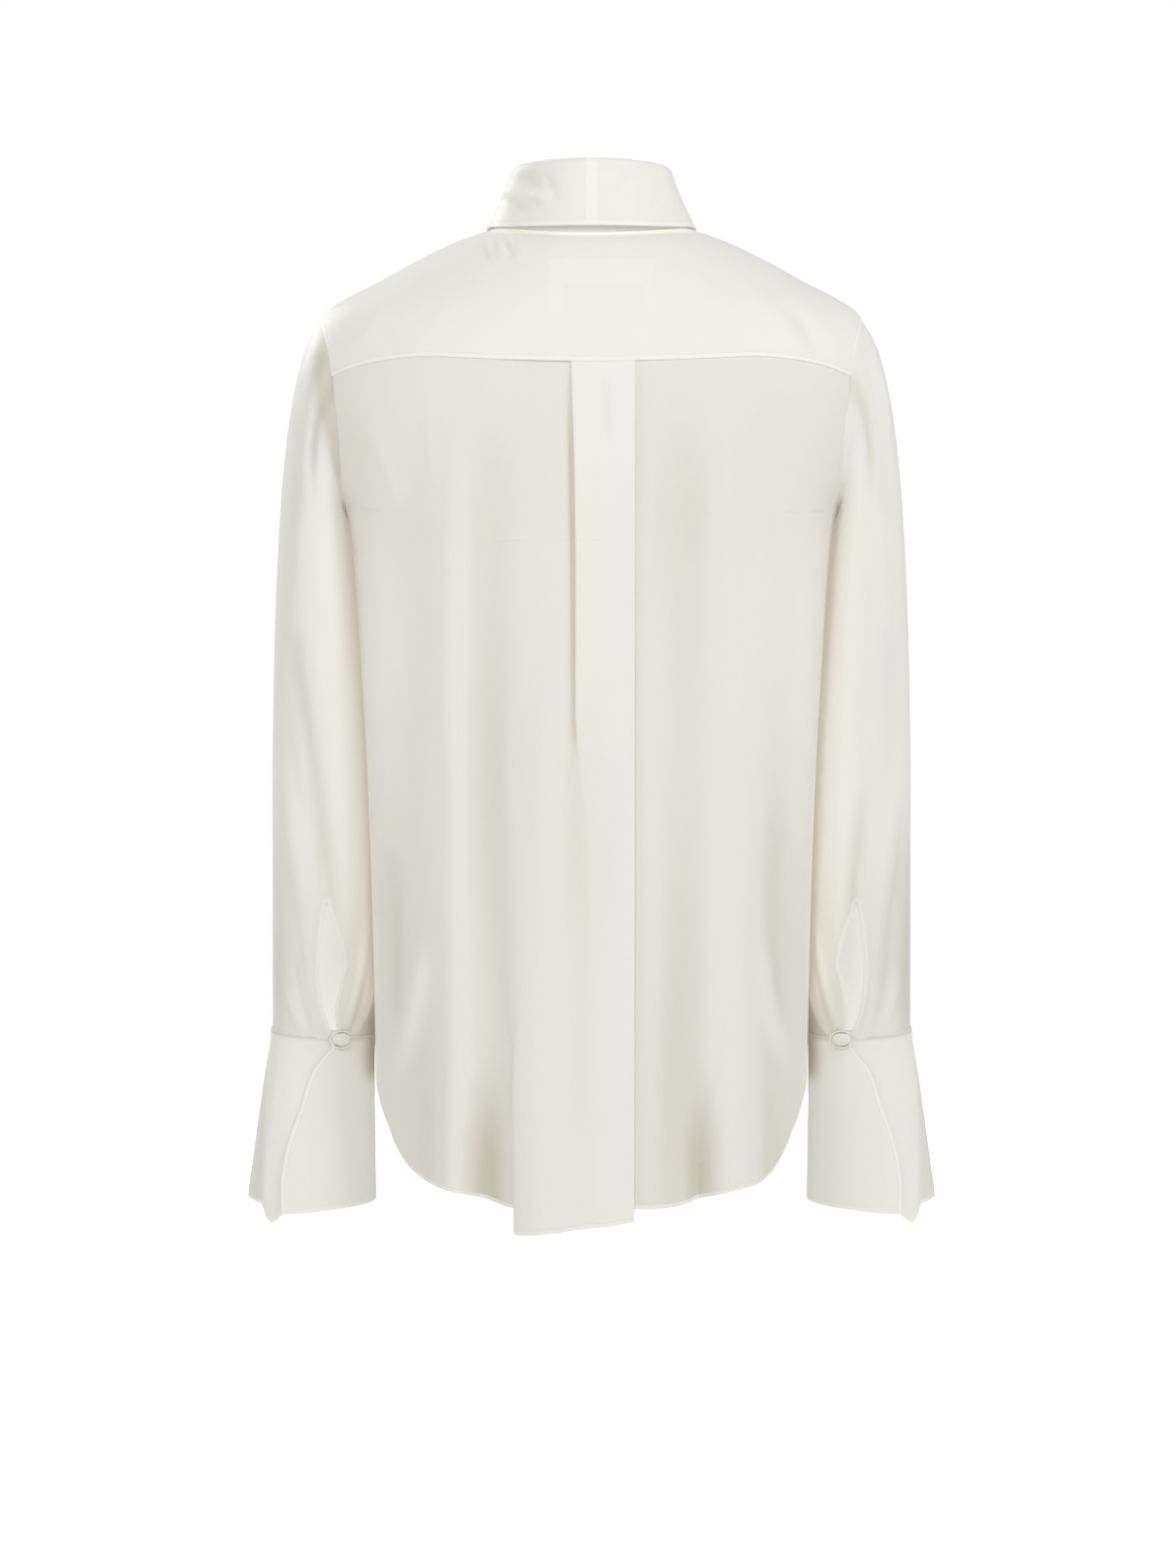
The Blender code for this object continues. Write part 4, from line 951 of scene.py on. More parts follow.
def sleeve_ring(angle, station):
    inner_x, inner_z, outer_x, outer_z, middle_y, half_depth, squareness, forward = np.moveaxis(
        rows_at(SLEEVE, station), -1, 0)
    behind = np.clip(np.sin(angle), 0, 1)
    pressed = behind * eased((station - PRESSED_FROM) / PRESSED_RAMP) * eased(
        (PRESSED_TO - station) / PRESSED_FADE)
    squareness = squareness + PRESSED_SQUARENESS * pressed * np.clip(-np.cos(angle) * 2, 0, 1)
    forward = forward * (1 - PRESSED_BACK * pressed)
    reach = ring_reach(angle, squareness)
    across = np.cos(angle) * reach
    depth = np.sin(angle) * reach
    dip = CUFF_BACK_DIP * behind * eased((station - WRIST_STATION) / 2)
    return np.stack(((inner_x + outer_x) / 2 + (outer_x - inner_x) / 2 * across,
                     middle_y + half_depth * depth - forward * (1 - across) / 2,
                     (inner_z + outer_z) / 2 + (outer_z - inner_z) / 2 * across - dip), -1)


def armhole_point(angle):
    """Where the sleeve is sewn in under the body's edge, matched to an angle round the sleeve."""
    level = np.linspace(SHOULDER_LEVEL, UNDERARM_LEVEL, 800)
    height = sleeve_ring(angle, 0.0)[..., 2]
    points = []
    for one_angle, z in zip(np.ravel(angle), np.ravel(height)):
        sign = 1 if math.sin(one_angle) >= 0 else -1
        rim = body_point(sign * edge_angle(level), level)
        at = np.interp(-z, -rim[:, 2], level)
        under_arm = max(0.0, -math.cos(one_angle)) ** 2
        tucked = edge_angle(np.array(at), LAP * SLEEVE_TUCK * (1 - under_arm))
        points.append(body_place(sign * tucked, at, -LAP_DEPTH))
    return np.array(points).reshape(*np.shape(angle), 3)


def sleeve_folds(angle, station, height, side=1):
    """The soft folds and creases of one sleeve: how far they stand out."""
    degrees = np.degrees(angle) % 360
    out = np.zeros(np.broadcast(angle, station).shape)
    for middle, at_cap, at_elbow, at_wrist, half_width in SLEEVE_SOFT_FOLDS:
        strength = np.interp(station, SLEEVE_FOLD_STATIONS, (0, at_cap, at_elbow, at_wrist, 0))
        away = (degrees - middle + 180) % 360 - 180
        out = out + strength * bell(away, half_width)
    own = LEFT_SLEEVE_CREASES if side > 0 else RIGHT_SLEEVE_CREASES
    turned = [(angle0 * AROUND, z0, angle1 * AROUND, z1, *rest)
              for angle0, z0, angle1, z1, *rest in SLEEVE_CREASES + own]
    return out + creases(turned, degrees * AROUND, height)


def sleeve_place(angle, station, out=0.0, sewn=None, side=1):
    """A point on a sleeve, as it lies on the wearer's left."""
    angle, station = np.broadcast_arrays(angle, station)
    away = np.stack((np.cos(angle), np.sin(angle), np.zeros(angle.shape)), -1)
    ring = sleeve_ring(angle, station)
    point = ring + away * (out + sleeve_folds(angle, station, ring[..., 2], side))[..., None]
    if sewn is None:
        return point
    near_cap = np.clip(1 - station / CAP_STATIONS, 0, 1) ** 2
    return point + sewn * near_cap[..., None]


def station_at(z):
    """The sleeve's station at a height of its lower half, at the back."""
    station = np.linspace(8, len(SLEEVE) - 1, 600)
    height = sleeve_ring(np.full(600, np.pi / 2), station)[:, 2]
    return np.interp(-np.asarray(z), -height, station)


def slit_half_angle(z):
    """Half the slit's opening, as an angle round the sleeve, and the angle of its middle."""
    width = np.maximum(smooth_at(SLIT, z, 1), 0.0)
    middle = np.radians(smooth_at(SLIT, z, 2))
    return np.where(z > SLIT[0, 0], 0.0, width / 2 / SLIT_RADIUS), middle


def sleeve_points(side, columns=150, upper_rows=140, slit_rows=44):
    """A sleeve, ring by ring from the armhole to the wrist; the rings open along the slit."""
    slit_top = float(station_at(SLIT[0, 0]))
    stations = np.concatenate((np.linspace(0, slit_top, upper_rows),
                               np.linspace(slit_top, len(SLEEVE) - 1, slit_rows)[1:]))
    heights = sleeve_ring(np.full(len(stations), np.pi / 2), stations)[:, 2]
    _, first_middle = slit_half_angle(np.array(0.0))
    around = np.linspace(0, 1, columns + 1)
    cap_angle = mixed(first_middle, first_middle + 2 * np.pi, around)
    sewn = armhole_point(cap_angle) - sleeve_ring(cap_angle, np.zeros(columns + 1))
    points, tones = [], {"hollow": [], "through": []}
    for station, z in zip(stations, heights):
        half, middle = slit_half_angle(z)
        angle = mixed(middle + half, middle + 2 * np.pi - half, around)
        ring = sleeve_place(angle, station, sewn=sewn, side=side)
        if half == 0.0:
            ring[-1] = ring[0]
        points.append(ring)
        # Painted shade: in the folds, beside the cap's seam behind, at the lower sleeve's outer
        # end, on the back of the forearm and on the wrist's side next to the body.
        in_folds = painted_fold_shade(sleeve_folds(angle, station, ring[:, 2], side), SLEEVE_FULL_SHADE_DEPTH)
        beside_seam = SEAM_SHADE[side] * eased((np.sin(angle) - 0.55) / 0.35) * bell(
            station - SEAM_SHADE_STATION, SEAM_SHADE_HALF)
        outer_end = OUTER_SHADE[side] * eased((np.cos(angle) - 0.5) / 0.5) * eased(
            (OUTER_SHADE_Z - z) / OUTER_SHADE_RAMP)
        forearm = FOREARM_SHADE * eased(np.sin(angle) * 2) * bell(
            z - FOREARM_Z, FOREARM_HALF_HEIGHT)
        wrist = eased((-0.55 - np.cos(angle)) / 0.35) * eased(
            (WRIST_SHADE_Z - z) / WRIST_SHADE_RAMP + 1)
        shades = in_folds + beside_seam + outer_end + forearm + wrist
        tones["hollow"].append(np.clip(shades, 0, 1))
        # Painted glow on the side facing the body, for light coming through, fading out at the
        # wrist.
        facing = eased(0.15 - np.cos(angle))
        tones["through"].append(facing * eased((station - 1) / 2.5) * eased(
            (z - WRIST_SHADE_Z) / WRIST_GLOW_RAMP))
    return on_side(points, side), tones


def binding_points(side, rows=60):
    """The slit's binding: a narrow strip up one edge, round the top and down the other."""
    low_z, top_z = SLIT[-1, 0] + 1.0, SLIT[0, 0]
    height = np.concatenate((np.linspace(low_z, top_z - 4, rows // 2),
                             np.linspace(top_z - 4, low_z, rows // 2)))
    width = np.maximum(smooth_at(SLIT, height, 1), 0.0)
    sign = np.concatenate((np.full(rows // 2, -1.0), np.full(rows // 2, 1.0)))
    line_s = np.insert(sign * (width / 2 + BINDING_WIDTH / 2), rows // 2,
                       [aside for aside, _ in BINDING_TOP])
    line_z = np.insert(height, rows // 2, [top_z + up for _, up in BINDING_TOP])
    along = np.stack((np.gradient(line_s), np.gradient(line_z)), -1)
    along /= np.linalg.norm(along, axis=-1, keepdims=True)
    strip = []
    for offset in np.linspace(-0.5, 0.5, 7) * BINDING_WIDTH:
        s = line_s + along[:, 1] * offset
        z = line_z - along[:, 0] * offset
        middle = np.radians(smooth_at(SLIT, z, 2))
        lift = BINDING_LIFT * (1 - 0.6 * (2 * offset / BINDING_WIDTH) ** 2)
        strip.append(sleeve_place(middle + s / SLIT_RADIUS, station_at(z), lift, side=side))
    return on_side(strip, side)


def cuff_place(angle, share, out=0.0):
    """A point on the wearer's left cuff; share runs from the wrist seam to the hem."""
    angle, share = np.broadcast_arrays(angle, share)
    inner_x, outer_x, middle_y, half_depth, forward, _, _ = np.moveaxis(
        rows_at(CUFF, share * (len(CUFF) - 1)), -1, 0)
    reach = ring_reach(angle, CUFF_SQUARENESS)
    top_z = (CUFF_TOP_Z + CUFF_TOP_TILT * np.cos(angle)
             - CUFF_BACK_DIP * np.clip(np.sin(angle), 0, 1))
    low_z = smooth_at(CUFF_HEM, np.degrees(angle), 1)
    half_width = (outer_x - inner_x) / 2
    return np.stack(((inner_x + outer_x) / 2 + (half_width * reach + out) * np.cos(angle),
                     middle_y + (half_depth * reach + out) * np.sin(angle)
                     - forward * (1 - np.cos(angle) * reach) / 2,
                     mixed(top_z + LAP * 0.8, low_z, share)), -1)


def cuff_points(side, columns=200, rows=70):
    """A cuff, from its upper flap's edge round the wrist to the end that lies beneath, and its
    shade, painted where the flare turns from the light, inside its top and under the wrist seam."""
    points, hollow = [], []
    across = np.linspace(0, 1, columns + 1)
    for share in np.linspace(0, 1, rows + 1):
        flap, under = rows_at(CUFF, share * (len(CUFF) - 1))[-2:]
        angle = np.radians(mixed(flap, under, across))
        lift = FLAP_LIFT * eased(1 - across / LAP_SHARE) + UNDER_LIFT * eased(
            1 - (1 - across) / LAP_SHARE) + CUFF_TOP_LIFT * eased(1 - share * 10)
        points.append(cuff_place(angle, share, lift))
        turned = eased((np.cos(angle) - mixed(1.0, CUFF_TURN, share)) / 0.09) * (
            np.sin(angle) > -0.2)
        inner_top = eased((-0.7 - np.cos(angle)) / 0.25) * eased((0.32 - share) / 0.12)
        under_seam = SEAM_SHADOW * bell(share - SEAM_SHADOW_SHARE, SEAM_SHADOW_SHARE)
        hollow.append(np.clip(CUFF_SHADE * turned + inner_top + under_seam, 0, 1))
    return on_side(points, side), {"hollow": hollow}


# ---------------------------------------------------------------- making pieces

# What a piece of cloth keeps at each point for its finish: how far it is from its four edges,
# whether it lies double, how much shade is painted where a fold lies in or the cloth turns from
# the light, and how much glow is painted for light coming through it where it faces other cloth.
EDGE_DISTANCES = ("from_top", "from_bottom", "from_left", "from_right")
TONES = ("doubled", "hollow", "through")


def steps_along(points, axis):
    """The cloth's length along a grid's rows or columns, from their start to each point."""
    step = np.linalg.norm(np.diff(points, axis=axis), axis=-1)
    start = np.zeros_like(np.take(step, [0], axis=axis))
    return np.concatenate((start, np.cumsum(step, axis=axis)), axis)


def link_mesh(name, shape, finish):
    mesh = bpy.data.meshes.new(name)
    shape.to_mesh(mesh)
    shape.free()
    mesh.shade_smooth()
    mesh.materials.append(finish)
    piece = bpy.data.objects.new(name, mesh)
    bpy.context.scene.collection.objects.link(piece)
    return piece


SHARP_ANGLE = math.radians(50)
JOIN_DISTANCE = 0.00001
# A covered button's back, as a share of its dome's height, and the gathers round its rim.
BUTTON_BACK = 0.7
BUTTON_GATHERS = 17
GATHER_DEPTH = 0.012
# The part of a turn that a loop takes round its button.
LOOP_ARC = (35.0, 325.0)


def settle(piece):
    """Takes a piece's modifiers into its mesh and keeps its cut edges crisp."""
    graph = bpy.context.evaluated_depsgraph_get()
    made = bpy.data.meshes.new_from_object(
        piece.evaluated_get(graph), preserve_all_data_layers=True, depsgraph=graph)
    plain = piece.data
    piece.modifiers.clear()
    piece.data = made
    made.name = plain.name
    bpy.data.meshes.remove(plain)
    made.set_sharp_from_angle(angle=SHARP_ANGLE)


def stand_for(piece, node):
    """The piece rides with the blouse, and stands for its plain solid."""
    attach(piece, "root")
    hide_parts(node)
    return piece


def sew(name, node, points, finish, wall, joined=False, tones=None,
        inside="silk inside"):
    """One piece of cloth: a grid laid on points[row][column] and given its wall.

    Its map holds the cloth's own flat place in metres, and its attributes the distance from each
    of its four edges, and its tones. inside names the finish of its inside.
    """
    rows, columns = points.shape[0] - 1, points.shape[1] - 1
    down, across = steps_along(points, 0) * MM, steps_along(points, 1) * MM
    distances = (down, down[-1] - down, across, across[:, -1:] - across)
    flat_u = across - across[:, columns // 2:columns // 2 + 1]
    shape = bmesh.new()
    bmesh.ops.create_grid(shape, x_segments=columns, y_segments=rows, size=0.5)
    chart = shape.loops.layers.uv.new("cloth")
    layers = [shape.verts.layers.float.new(label) for label in EDGE_DISTANCES]
    kept = {shape.verts.layers.float.new(label): (tones or {}).get(label) for label in TONES}
    place_of = {}
    for vertex in shape.verts:
        column = round((vertex.co.x + 0.5) * columns)
        row = round((0.5 - vertex.co.y) * rows)
        place_of[vertex] = (row, column)
        vertex.co = Vector(points[row, column]) * MM
        for layer, distance in zip(layers, distances):
            vertex[layer] = distance[row, column]
        for layer, tone in kept.items():
            vertex[layer] = 0.0 if tone is None else float(tone[row][column])
    for face in shape.faces:
        for loop in face.loops:
            row, column = place_of[loop.vert]
            loop[chart].uv = (flat_u[row, column], -down[row, column])
    if joined:
        bmesh.ops.remove_doubles(shape, verts=shape.verts, dist=JOIN_DISTANCE)
    shape.normal_update()
    middle = Vector(points.mean((0, 1))) * MM
    if sum(face.calc_area() * face.normal.dot(face.calc_center_median() - middle)
           for face in shape.faces) < 0:
        bmesh.ops.reverse_faces(shape, faces=shape.faces)
    piece = link_mesh(name, shape, finish)
    piece.data.materials.append(inner_finish(inside))
    thickness = piece.modifiers.new("wall", "SOLIDIFY")
    thickness.thickness = wall
    thickness.offset = 0.0
    thickness.material_offset = 1
    settle(piece)
    stand_for(piece, node)
    return piece


def cover_button(name, node, finish, middle, half_sizes, facing):
    """A covered button: cloth drawn over a dome, gathered to a flat back."""
    shape = bmesh.new()
    bmesh.ops.create_uvsphere(shape, u_segments=48, v_segments=24, radius=MM)
    for vertex in shape.verts:
        if vertex.co.z < 0:
            vertex.co.z = -BUTTON_BACK * MM * (1 - (1 + vertex.co.z / MM) ** 3)
        around = math.atan2(vertex.co.y, vertex.co.x)
        rim = math.exp(-((vertex.co.z / MM + 0.25) / 0.25) ** 2)
        vertex.co.xy *= 1 + GATHER_DEPTH * rim * math.sin(BUTTON_GATHERS * around)
    half_across, half_thick, half_high = half_sizes
    bmesh.ops.scale(shape, vec=(half_across, half_high, half_thick), verts=shape.verts)
    turn = Vector(facing).to_track_quat("Z", "Y").to_matrix()
    bmesh.ops.rotate(shape, matrix=turn, verts=shape.verts)
    bmesh.ops.translate(shape, vec=Vector(middle) * MM, verts=shape.verts)
    return stand_for(link_mesh(name, shape, finish), node)


def cord_loop(name, node, finish, middle, facing, half_sizes, segments=40, sides=12):
    """A thin cord loop round a button's rim, open where it is caught in the seam."""
    turn = Vector(facing).to_track_quat("Z", "Y").to_matrix()
    shape = bmesh.new()
    bmesh.ops.create_cone(shape, cap_ends=True, segments=sides, radius1=LOOP_TUBE * MM,
                          radius2=LOOP_TUBE * MM, depth=1.0)
    long_edges = [edge for edge in shape.edges
                  if abs(edge.verts[0].co.z - edge.verts[1].co.z) > 0.5]
    bmesh.ops.subdivide_edges(shape, edges=long_edges, cuts=segments - 1)
    for vertex in shape.verts:
        angle = math.radians(mixed(*LOOP_ARC, vertex.co.z + 0.5))
        reach = Vector((math.cos(angle), math.sin(angle), 0.0))
        line = Vector(((half_sizes[0] + LOOP_GROWTH) * reach.x,
                       (half_sizes[2] + LOOP_GROWTH) * reach.y, -LOOP_DEPTH))
        point = line * MM + reach * vertex.co.x + Vector((0.0, 0.0, vertex.co.y))
        vertex.co = turn @ point + Vector(middle) * MM
    bmesh.ops.recalc_face_normals(shape, faces=shape.faces)
    return stand_for(link_mesh(name, shape, finish), node)


# ---------------------------------------------------------------- finishes

# The spacing of the silk's threads, in metres.
WEAVE_PITCH = 0.0004
# How fine the crepe's grain, its slubs and the crumple's small part are, in spots for a metre.
GRAIN_SCALE = 900.0
SLUB_SCALE = (60.0, 900.0, 1.0)
FINE_SCALE = 140.0
# A buttonhole's half length, and the half widths of its stitching and its cut: where each
# begins to fade and where it has ended.
HOLE_HALF_LENGTH = (0.0072, 0.0080)
HOLE_STITCHING = (0.0010, 0.0014)
HOLE_CUT = (0.0002, 0.0004)
# Where the label's fold and its two ends show through the yoke, by x and z, in metres, and how
# light and raised they are. Then the same for the pressed line across the back, darker with painted
# shade.
LABEL_MARKS = (((-0.0465, 0.0315), (-0.0515, -0.031)),
               ((0.020, 0.0315), (-0.072, -0.0515)),
               ((-0.0465, -0.0375), (-0.070, -0.0515)))
LABEL_LIGHT, LABEL_LIFT = 0.36, 0.03
PRESSED_LINE = ((-0.018, 0.072), (-0.2385, -0.2375))
PRESSED_LIGHT, PRESSED_LIFT = -0.25, 0.12
BEHIND_Y = (0.05, 0.2)


def new_group(name, inputs, outputs):
    """A shader node group with named inputs (socket kind and default) and outputs."""
    group = bpy.data.node_groups.new(name, "ShaderNodeTree")
    for label, (kind, value) in inputs.items():
        socket = group.interface.new_socket(label, in_out="INPUT", socket_type="NodeSocket" + kind)
        if value is not None:
            socket.default_value = value
    for label in outputs:
        group.interface.new_socket(label, in_out="OUTPUT", socket_type="NodeSocketFloat")
    start = group.nodes.new("NodeGroupInput").outputs
    end = group.nodes.new("NodeGroupOutput").inputs
    return group, start, end


def add_node(tree, kind, inputs=(), **settings):
    """A node with settings, and inputs that are sockets to link or values to hold."""
    node = tree.nodes.new("ShaderNode" + kind)
    for key, value in settings.items():
        setattr(node, key, value)
    for key, value in dict(inputs).items():
        if isinstance(value, bpy.types.NodeSocket):
            tree.links.new(value, node.inputs[key])
        else:
            node.inputs[key].default_value = value
    return node


def figure(tree, operation, *values):
    """The result of one Math node."""
    return add_node(tree, "Math", enumerate(values), operation=operation).outputs[0]


def product(tree, *values):
    return figure(tree, "MULTIPLY", *values)


def noise(tree, vector, scale, **others):
    """Soft noise, with Detail 2 unless it is given."""
    inputs = {"Vector": vector, "Scale": scale, "Detail": 2.0, **others}
    return add_node(tree, "TexNoise", inputs).outputs[0]


def ramp(tree, value, low, high, start=0.0, end=1.0):
    """A value's smooth passage from start to end between low and high."""
    return add_node(tree, "MapRange", {0: value, 1: low, 2: high, 3: start, 4: end},
                    interpolation_type="SMOOTHSTEP").outputs[0]


def weave_group():
    """Crepe's weave: crossing threads with a pebbly grain. Height is 0 to 1."""
    group, start, end = new_group("crepe weave", {
        "Vector": ("Vector", None), "Pitch": ("Float", WEAVE_PITCH)}, ("Height",))
    parts = add_node(group, "SeparateXYZ", {0: start["Vector"]}).outputs
    turns = figure(group, "DIVIDE", 2 * math.pi, start["Pitch"])
    warp = figure(group, "SINE", product(group, parts[0], turns))
    weft = figure(group, "SINE", product(group, parts[1], turns))
    crossing = figure(group, "MULTIPLY_ADD", product(group, warp, weft), 0.5, 0.5)
    grain = noise(group, start["Vector"], GRAIN_SCALE)
    drawn = add_node(group, "Mapping", {"Vector": start["Vector"], "Scale": SLUB_SCALE})
    slub = noise(group, drawn.outputs[0], 1.0)
    mix = figure(group, "MULTIPLY_ADD", grain, 0.8, product(group, crossing, 0.5))
    group.links.new(figure(group, "MULTIPLY_ADD", slub, 0.6, mix), end["Height"])
    return group


def crumple_group():
    """The soft unevenness of hanging cloth, long down the piece. Height and Tone are 0 to 1."""
    group, start, end = new_group("soft crumple", {
        "Vector": ("Vector", None), "Scale": ("Float", 30.0), "Drop": ("Float", 0.3)},
        ("Height", "Tone"))
    stretch = add_node(group, "CombineXYZ", {0: 1.0, 1: 1.0, 2: start["Drop"]}).outputs[0]
    drawn = add_node(group, "VectorMath", {0: start["Vector"], 1: stretch}, operation="MULTIPLY")
    broad = noise(group, drawn.outputs[0], start["Scale"], Detail=3.0, Roughness=0.45)
    fine = noise(group, start["Vector"], FINE_SCALE)
    group.links.new(figure(group, "MULTIPLY_ADD", fine, 0.12, broad), end["Height"])
    group.links.new(broad, end["Tone"])
    return group


def band_group():
    """A strip along an edge, by the distance from it. Mask is 1 on the strip."""
    group, start, end = new_group("edge strip", {
        "Distance": ("Float", 0.0), "Width": ("Float", 0.004)}, ("Mask",))
    near = product(group, start["Width"], 0.86)
    group.links.new(ramp(group, start["Distance"], near, start["Width"], 1.0, 0.0), end["Mask"])
    return group


def stitch_group():
    """A row of stitches along an edge. Mask is 1 on each stitch."""
    group, start, end = new_group("stitch row", {
        "Distance": ("Float", 0.0), "Inset": ("Float", 0.002), "Along": ("Float", 0.0),
        "Length": ("Float", 0.002)}, ("Mask",))
    away = figure(group, "ABSOLUTE", figure(group, "SUBTRACT", start["Distance"], start["Inset"]))
    line = ramp(group, away, 0.0001, 0.00035, 1.0, 0.0)
    turns = product(group, start["Along"], figure(group, "DIVIDE", 2 * math.pi, start["Length"]))
    dash = ramp(group, figure(group, "SINE", turns), -0.75, -0.45)
    group.links.new(product(group, line, dash), end["Mask"])
    return group


def use_group(tree, name, inputs):
    """One placing of a shared node group, which is made the first time."""
    makers = {"crepe weave": weave_group, "soft crumple": crumple_group,
              "edge strip": band_group, "stitch row": stitch_group}
    group = bpy.data.node_groups.get(name) or makers[name]()
    return add_node(tree, "Group", inputs, node_tree=group).outputs


def tinted(tree, base, mask, colour):
    """base turned to another colour where the mask is 1."""
    mix = add_node(tree, "Mix", data_type="RGBA")
    mix.inputs["A"].default_value = (1, 1, 1, 1)
    tree.links.new(mask, mix.inputs[0])
    if isinstance(base, bpy.types.NodeSocket):
        tree.links.new(base, mix.inputs[6])
    else:
        mix.inputs[6].default_value = base
    mix.inputs[7].default_value = colour
    return mix.outputs[2]


def inside_box(tree, parts, limits, soft=0.0012):
    """1 inside limits along the given axes of Object coordinates, 0 outside."""
    mask = None
    for axis, (low, high) in limits.items():
        rise = ramp(tree, parts[axis], low - soft, low + soft)
        fall = ramp(tree, parts[axis], high - soft, high + soft, 1.0, 0.0)
        both = product(tree, rise, fall)
        mask = both if mask is None else product(tree, mask, both)
    return mask


def label_marks(tree, parts):
    """The label inside the yoke, faintly showing through: its top fold and its two ends."""
    fold, *ends = (inside_box(tree, parts, {0: limits_x, 2: limits_z, 1: BEHIND_Y})
                   for limits_x, limits_z in LABEL_MARKS)
    shown = figure(tree, "MAXIMUM", fold, figure(tree, "MAXIMUM", *ends))
    return [(shown, LABEL_LIGHT, LABEL_LIFT)]


def pressed_marks(tree, parts):
    """A faint line across the back where the cloth lay folded, raised a little and darkened with
    painted shade.
    """
    limits_x, limits_z = PRESSED_LINE
    line = inside_box(tree, parts, {0: limits_x, 1: BEHIND_Y, 2: limits_z}, 0.0007)
    return [(line, PRESSED_LIGHT, PRESSED_LIFT)]


def buttonhole_marks(tree, parts):
    """Upright buttonholes under the front buttons."""
    pitch = BUTTON_PITCH * MM
    between_z = (FIRST_BUTTON_Z - BUTTON_PITCH / 2) * MM
    turns = figure(tree, "DIVIDE", figure(tree, "SUBTRACT", parts[2], between_z), pitch)
    height = product(tree, figure(tree, "SUBTRACT", figure(tree, "FRACT", turns), 0.5), pitch)
    high = ramp(tree, figure(tree, "ABSOLUTE", height), *HOLE_HALF_LENGTH, 1.0, 0.0)
    aside = figure(tree, "ABSOLUTE", parts[0])
    stitched, cut = (product(tree, high, ramp(tree, aside, *limits, 1.0, 0.0))
                     for limits in (HOLE_STITCHING, HOLE_CUT))
    return [(stitched, 0.3, 0.25), (cut, -1.0, -0.4)]


# The glow painted on the silk for light that comes through it: how strong, and its green and
# blue against red.
OUTER_GLOW = (0.035, 0.94, 0.84)
# Glow painted on the insides, stronger in the sleeves, its warmth, and its strength where a tone
# says light comes through, and beneath the collar.
INNER_GLOW = {"silk inside": 0.15, "sleeve inside": 0.27}
INNER_WARMTH = (0.995, 0.98)
THROUGH_GLOW = 0.14
NECK_GLOW = 0.38
# The inside's colour, paler and less yellow than the silk outside, painted to offset the warm light
# that bounces inside.
INNER_COLOUR = (0.805, 0.80, 0.78)
# What shade does to the silk's colour: between threads, painted where a fold lies in, and on drawn
# cloth.
DARK_TINT = (0.92, 0.895, 0.83)
PAINTED_SHADE_TINT = (0.76, 0.735, 0.66)
DRAWN_TINT = (0.88, 0.86, 0.82)
# The weave's height from its lowest to its highest thread, and how deep it is, in millimetres.
THREAD_HEIGHTS = (0.2, 1.4)
THREAD_DEPTH = 0.035
THREAD_SHADE = 0.05
DRAWN_THREAD_DEPTH = 0.04
DRAWN_THREAD_SHADE = 0.12
DRAWN_LEAN = (1.5708, 0.0, 0.5)
CRUMPLE_TONES = (0.35, 0.75)
CRUMPLE_SHADE = 0.10
CRUMPLE_DEPTH = 0.9
# How much lighter cloth is where it lies double, and how dark and deep a stitch is.
DOUBLED_LIGHT = 0.75
STITCH_SHADE = 0.35
STITCH_DEPTH = -0.12


def new_finish(name, sheen, sheen_roughness):
    """A new material with silk's sheen, its node tree and its shader."""
    material = bpy.data.materials.new(name)
    material.use_nodes = True
    shader = material.node_tree.nodes["Principled BSDF"]
    shader.inputs["Sheen Weight"].default_value = sheen
    shader.inputs["Sheen Roughness"].default_value = sheen_roughness
    return material, material.node_tree, shader


def link_relief(tree, shader, height, depth):
    """Raises a height over the surface, depth metres for each 1."""
    bump = add_node(tree, "Bump", {"Height": height, "Strength": 1.0, "Distance": depth})
    tree.links.new(bump.outputs[0], shader.inputs["Normal"])


def toned(colour, tint):
    """A colour in the shade of a tint, with its alpha."""
    return (*(part * share for part, share in zip(colour, tint)), 1.0)


def kept_at(tree, name):
    """What a piece keeps at each point under this name."""
    return add_node(tree, "Attribute", attribute_name=name).outputs["Fac"]


